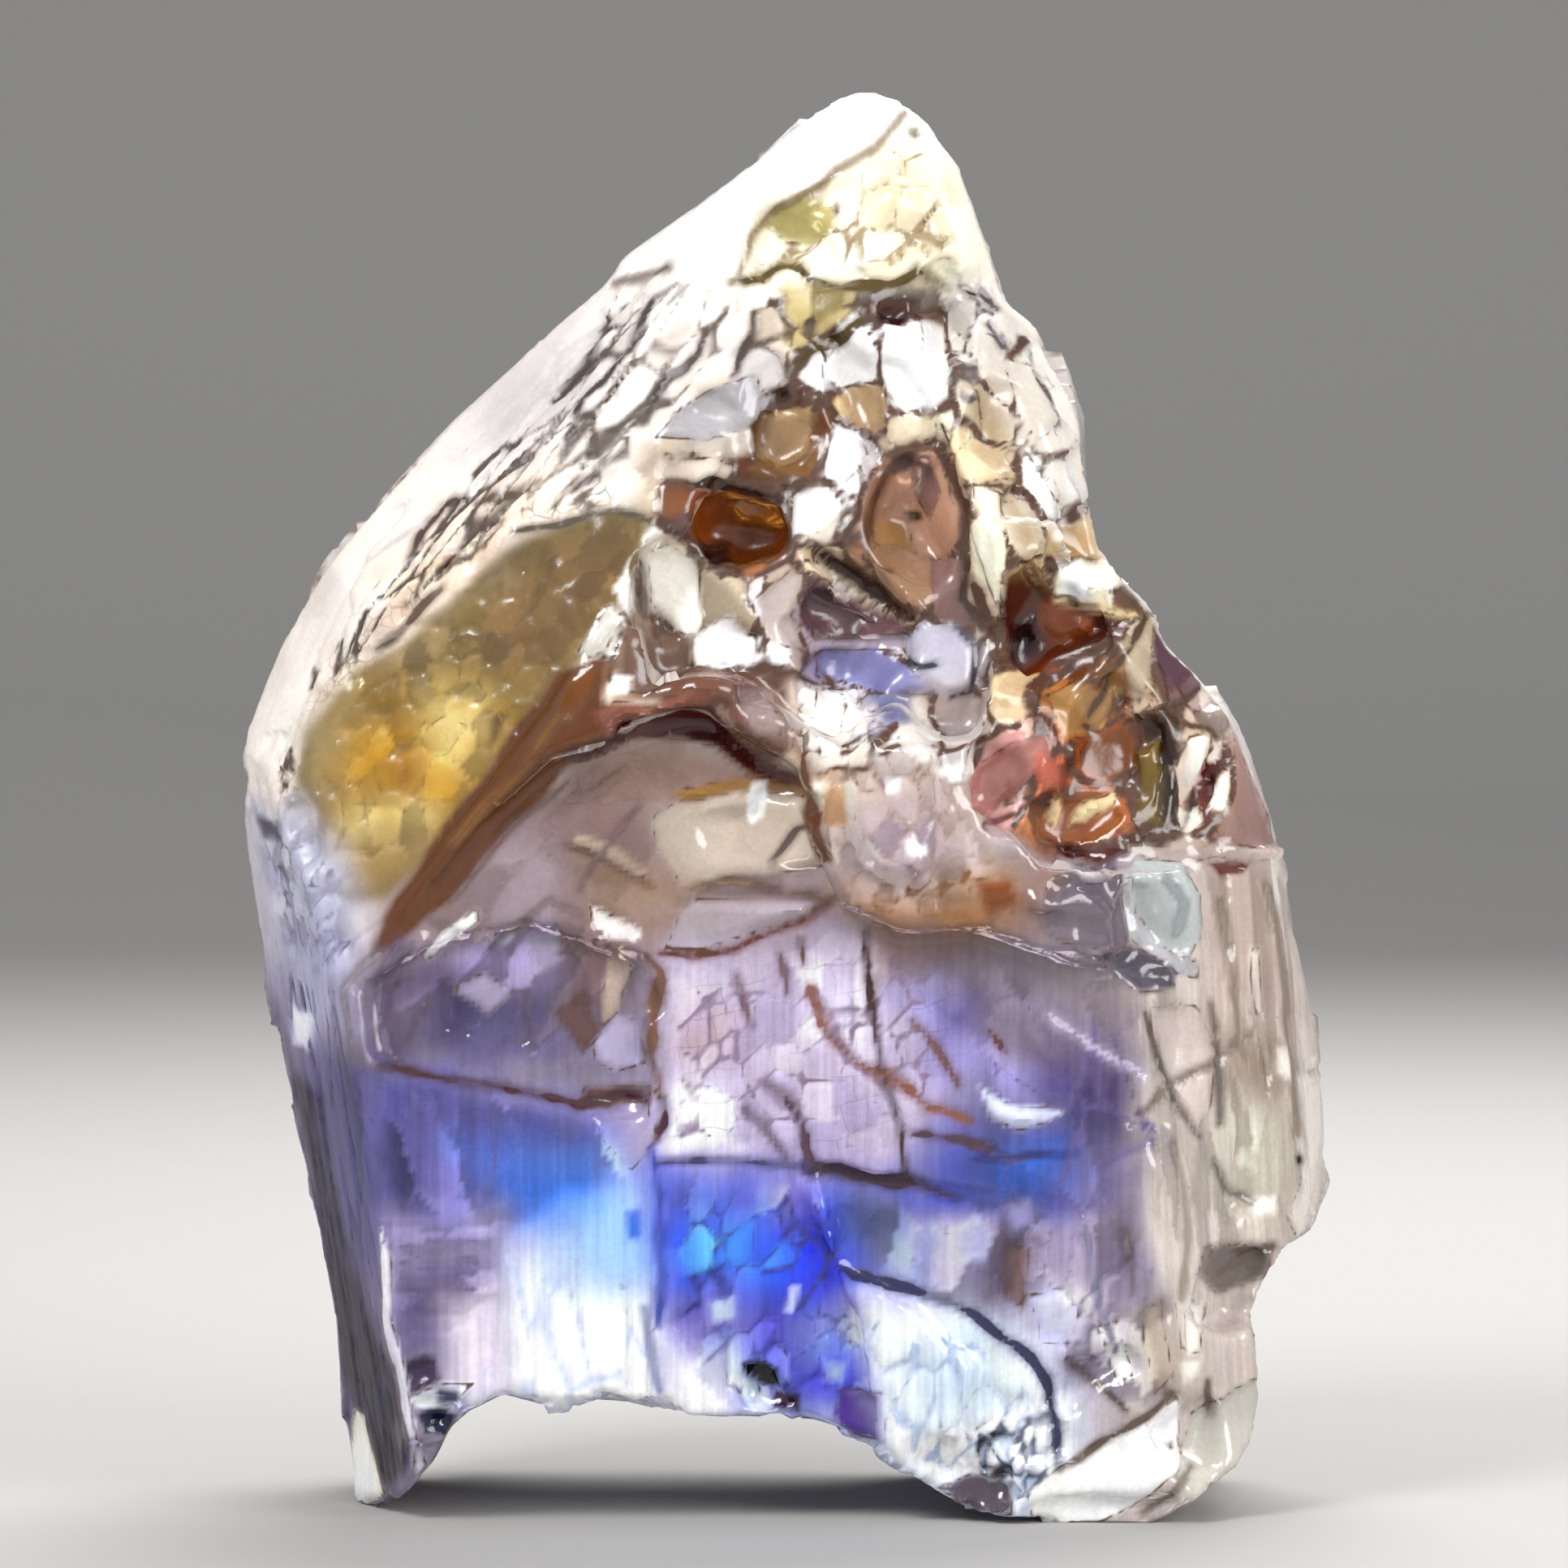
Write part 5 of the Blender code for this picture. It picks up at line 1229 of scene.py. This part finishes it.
def zoisite_material(finish):
    """Blue zoisite, rough as it grew and broke: glassy where broken, frosted where etched.

    A high refractive index gives the bright edges and sparkle; the colour lies on the skin in zones.
    """
    material = bpy.data.materials.new("zoisite_rough_etched")
    material.use_nodes = True
    tree = material.node_tree
    tree.nodes.clear()
    tint = node(tree, "ShaderNodeAttribute", {"attribute_name": "tint"})
    line_tint = node(tree, "ShaderNodeAttribute", {"attribute_name": "line_tint"})
    line = node(tree, "ShaderNodeAttribute", {"attribute_name": "line"})
    frost = node(tree, "ShaderNodeAttribute", {"attribute_name": "frost"})
    clear = node(tree, "ShaderNodeAttribute", {"attribute_name": "clear"})
    place = node(tree, "ShaderNodeTexCoord")
    inked = node(
        tree, "ShaderNodeMapRange",
        {
            "interpolation_type": 'SMOOTHSTEP', "From Min": LINE_OUTSIDE, "From Max": -LINE_INSIDE,
            "To Min": 0.0, "To Max": 1.0,
        },
        Value=line.outputs["Fac"],
    )
    grain = node(
        tree, "ShaderNodeTexNoise",
        {"Scale": 1.0 / finish.grain_size, "Detail": 3.0}, Vector=place.outputs["Object"],
    )
    mottle = node(
        tree, "ShaderNodeMapRange",
        {"From Min": 0.3, "From Max": 0.7, "To Min": 0.94, "To Max": 1.05}, Value=grain.outputs["Fac"],
    )
    upright = node(
        tree, "ShaderNodeMapping",
        {
            "Rotation": (0.0, LEAN, 0.0),
            "Scale": (1.0 / STREAK_WIDTH, 1.0 / STREAK_WIDTH, 1.0 / STREAK_LENGTH),
        },
        Vector=place.outputs["Object"],
    )
    streaks = node(tree, "ShaderNodeTexNoise", {"Scale": 1.0, "Detail": 2.0}, Vector=upright.outputs[0])
    streaked = node(
        tree, "ShaderNodeMapRange",
        {"From Min": 0.32, "From Max": 0.68, "To Min": 0.86, "To Max": 1.10}, Value=streaks.outputs["Fac"],
    )
    broken = node(tree, "ShaderNodeAttribute", {"attribute_name": "streak"})
    streak_share = node(
        tree, "ShaderNodeMix", {"data_type": 'FLOAT', "A": 1.0}, _0=broken.outputs["Fac"],
        _3=streaked.outputs[0],
    )
    shade_all = node(
        tree, "ShaderNodeMath", {"operation": 'MULTIPLY'}, _0=mottle.outputs[0], _1=streak_share.outputs[0],
    )
    walls = web_walls(tree, place.outputs["Object"])
    veined = node(
        tree, "ShaderNodeVectorMath", {"operation": 'MULTIPLY'},
        _0=tint.outputs["Color"], _1=walls,
    )
    drawn = node(
        tree, "ShaderNodeMix", {"data_type": 'RGBA'},
        Factor=inked.outputs[0], _6=veined.outputs[0], _7=line_tint.outputs["Color"],
    )
    colour = node(
        tree, "ShaderNodeVectorMath", {"operation": 'SCALE'},
        Vector=drawn.outputs[2], Scale=shade_all.outputs[0],
    )
    bump = node(
        tree, "ShaderNodeBump", {"Strength": 0.25, "Distance": finish.grain_size * 0.15},
        Height=grain.outputs["Fac"],
    )
    see_through = node(
        tree, "ShaderNodeMix", {"data_type": 'FLOAT', "B": LINE_CLEAR},
        _0=inked.outputs[0], _2=clear.outputs["Fac"],
    )
    shader = node(
        tree, "ShaderNodeBsdfPrincipled",
        {"IOR": ZOISITE_IOR, "Specular IOR Level": ZOISITE_SPECULAR},
        Base_Color=colour.outputs[0], Roughness=frost.outputs["Fac"], Normal=bump.outputs[0],
        Transmission_Weight=see_through.outputs[0],
    )
    absorb = node(
        tree, "ShaderNodeVolumeAbsorption",
        {"Color": (*finish.depth_colour, 1.0), "Density": finish.depth_density},
    )
    node(tree, "ShaderNodeOutputMaterial", None, Surface=shader.outputs[0], Volume=absorb.outputs[0])
    return material


def card_material(code):
    """Matt paper card: a soft even pale ground with no shine."""
    material = bpy.data.materials.new("paper_card_matt")
    material.use_nodes = True
    tree = material.node_tree
    shader = tree.nodes["Principled BSDF"]
    shader.inputs["Base Color"].default_value = (*to_linear(code), 1.0)
    shader.inputs["Roughness"].default_value = CARD_ROUGHNESS
    return material


def area_light(name, place, size, power):
    """A round soft light that shines at the crystal's middle; place and size in mm."""
    data = bpy.data.lights.new(name, 'AREA')
    data.shape = 'DISK'
    data.size = size * MM
    data.energy = power
    item = bpy.data.objects.new(name, data)
    item.location = Vector(place) * MM
    item.rotation_euler = (Vector(LIGHT_TARGET) - Vector(place)).to_track_quat('-Z', 'Y').to_euler()
    bpy.context.scene.collection.objects.link(item)


class TanzaniteShape(bpy.types.PropertyGroup):
    mesh_step: bpy.props.FloatProperty(
        name="Mesh step", description="Spacing of the mesh on the sides and back; the front has half of it",
        default=0.198 * MM, min=0.1 * MM, precision=5, unit='LENGTH', subtype='DISTANCE',
    )


class TanzaniteFinish(bpy.types.PropertyGroup):
    depth_colour: bpy.props.FloatVectorProperty(
        name="Depth colour", description="Colour that light takes on inside the crystal",
        default=to_linear("E0DDF8"), size=3, min=0.0, max=1.0, subtype='COLOR',
    )
    depth_density: bpy.props.FloatProperty(
        name="Depth density", description="How fast the crystal takes up light, per metre", default=60.0,
    )
    grain_size: bpy.props.FloatProperty(
        name="Grain size", description="Size of the finest pits of the skin",
        default=0.10 * MM, precision=5, unit='LENGTH', subtype='DISTANCE',
    )


class TanzaniteStage(bpy.types.PropertyGroup):
    card_colour: bpy.props.StringProperty(
        name="Card colour", description="Hex colour of the floor and backdrop", default="A2A09D",
    )
    light: bpy.props.FloatProperty(
        name="Light", description="Strength of all the studio lights", default=1.0, min=0.0,
    )


class TANZANITE_OT_crystal(bpy.types.Operator):
    """Build the crystal's fine skin over its solid"""

    bl_idname = "tanzanite.crystal"
    bl_label = "Crystal"

    def execute(self, context):
        shape = context.scene.tanzanite_shape
        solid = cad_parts[NODE]
        mesh = fine_copy(shape.mesh_step, solid.data.copy())
        skin = Skin(mesh)
        skin.lay_zones(BODY_ZONES)
        skin.add_webs(WEBS)
        skin.add_facets(FACETS, RELIEF)
        skin.mark_bricks()
        skin.add_cracks(CRACKS)
        skin.dress_back()
        skin.add_grain()
        skin.write(mesh)
        mesh.materials.clear()
        mesh.materials.append(zoisite_material(context.scene.tanzanite_finish))
        mesh.polygons.foreach_set("use_smooth", np.ones(len(mesh.polygons), dtype=bool))
        mesh.set_sharp_from_angle(angle=math.radians(SHARP_EDGE))
        mesh.update()
        piece = bpy.data.objects.new("crystal_surface", mesh)
        context.scene.collection.objects.link(piece)
        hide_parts(NODE)
        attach(piece, BODY)
        return {'FINISHED'}


class TANZANITE_OT_stage(bpy.types.Operator):
    """Add the pale card, the studio lights and the camera"""

    bl_idname = "tanzanite.stage"
    bl_label = "Stage"

    def execute(self, context):
        stage = context.scene.tanzanite_stage
        sweep = bmesh.new()
        profile = [(-SWEEP_REACH, 0), (SWEEP_START, 0)]
        for step in range(1, SWEEP_STEPS):
            angle = math.radians(90 * step / SWEEP_STEPS)
            profile.append((SWEEP_START + SWEEP_BEND * math.sin(angle), SWEEP_BEND * (1.0 - math.cos(angle))))
        profile.append((SWEEP_START + SWEEP_BEND, SWEEP_REACH))
        left = [sweep.verts.new((-SWEEP_REACH * MM, y * MM, z * MM)) for y, z in profile]
        right = [sweep.verts.new((SWEEP_REACH * MM, y * MM, z * MM)) for y, z in profile]
        for a, b, c, d in zip(left, left[1:], right[1:], right):
            sweep.faces.new((a, d, c, b))
        mesh = bpy.data.meshes.new("stage_sweep")
        sweep.to_mesh(mesh)
        sweep.free()
        mesh.polygons.foreach_set("use_smooth", np.ones(len(mesh.polygons), dtype=bool))
        mesh.materials.append(card_material(stage.card_colour))
        item = bpy.data.objects.new("stage_sweep", mesh)
        context.scene.collection.objects.link(item)

        area_light("key", (-70, -80, 110), 60, KEY_WATTS * stage.light)
        area_light("fill", (90, -80, 60), 80, FILL_WATTS * stage.light)
        area_light("back", (20, 75, 110), 110, BACK_WATTS * stage.light)

        world = bpy.data.worlds.new("soft grey room")
        world.use_nodes = True
        sky = world.node_tree.nodes["Background"]
        sky.inputs["Color"].default_value = (*to_linear(ROOM_COLOUR), 1.0)
        sky.inputs["Strength"].default_value = ROOM_STRENGTH
        context.scene.world = world

        data = bpy.data.cameras.new("camera")
        data.lens = CAMERA_LENS
        data.sensor_width = CAMERA_SENSOR
        data.clip_start = 5 * MM
        distance = PHOTO_SIZE * MM_PER_PIXEL * data.lens / data.sensor_width
        across, up = on_crystal(PHOTO_MIDDLE)[0]
        middle = Vector((across, FRONT_Y, up))
        lift = math.radians(CAMERA_LIFT)
        camera = bpy.data.objects.new("camera", data)
        camera.location = (middle + Vector((0.0, -math.cos(lift), math.sin(lift))) * distance) * MM
        camera.rotation_euler = (middle * MM - camera.location).to_track_quat('-Z', 'Y').to_euler()
        context.scene.collection.objects.link(camera)
        context.scene.camera = camera
        context.scene.view_settings.view_transform = 'Standard'
        return {'FINISHED'}


class TANZANITE_PT_panel(bpy.types.Panel):
    """Sizes, finish and stage of the rough tanzanite"""

    bl_idname = "TANZANITE_PT_panel"
    bl_label = "Rough tanzanite"
    bl_space_type = 'VIEW_3D'
    bl_region_type = 'UI'
    bl_category = "Tanzanite"

    def draw(self, context):
        for group in (
            context.scene.tanzanite_shape, context.scene.tanzanite_finish, context.scene.tanzanite_stage,
        ):
            for name in group.bl_rna.properties.keys():
                if name not in ("rna_type", "name"):
                    self.layout.prop(group, name)
        for operator in OPERATORS:
            self.layout.operator(operator.bl_idname)


OPERATORS = (TANZANITE_OT_crystal, TANZANITE_OT_stage)
GROUPS = (TanzaniteShape, TanzaniteFinish, TanzaniteStage)


def register():
    for item in (*GROUPS, *OPERATORS, TANZANITE_PT_panel):
        bpy.utils.register_class(item)
    bpy.types.Scene.tanzanite_shape = bpy.props.PointerProperty(type=TanzaniteShape)
    bpy.types.Scene.tanzanite_finish = bpy.props.PointerProperty(type=TanzaniteFinish)
    bpy.types.Scene.tanzanite_stage = bpy.props.PointerProperty(type=TanzaniteStage)


def unregister():
    for name in ("tanzanite_shape", "tanzanite_finish", "tanzanite_stage"):
        delattr(bpy.types.Scene, name)
    for item in reversed((*GROUPS, *OPERATORS, TANZANITE_PT_panel)):
        bpy.utils.unregister_class(item)


def main():
    register()
    bpy.ops.tanzanite.crystal()
    bpy.ops.tanzanite.stage()


if __name__ == "__main__":
    main()
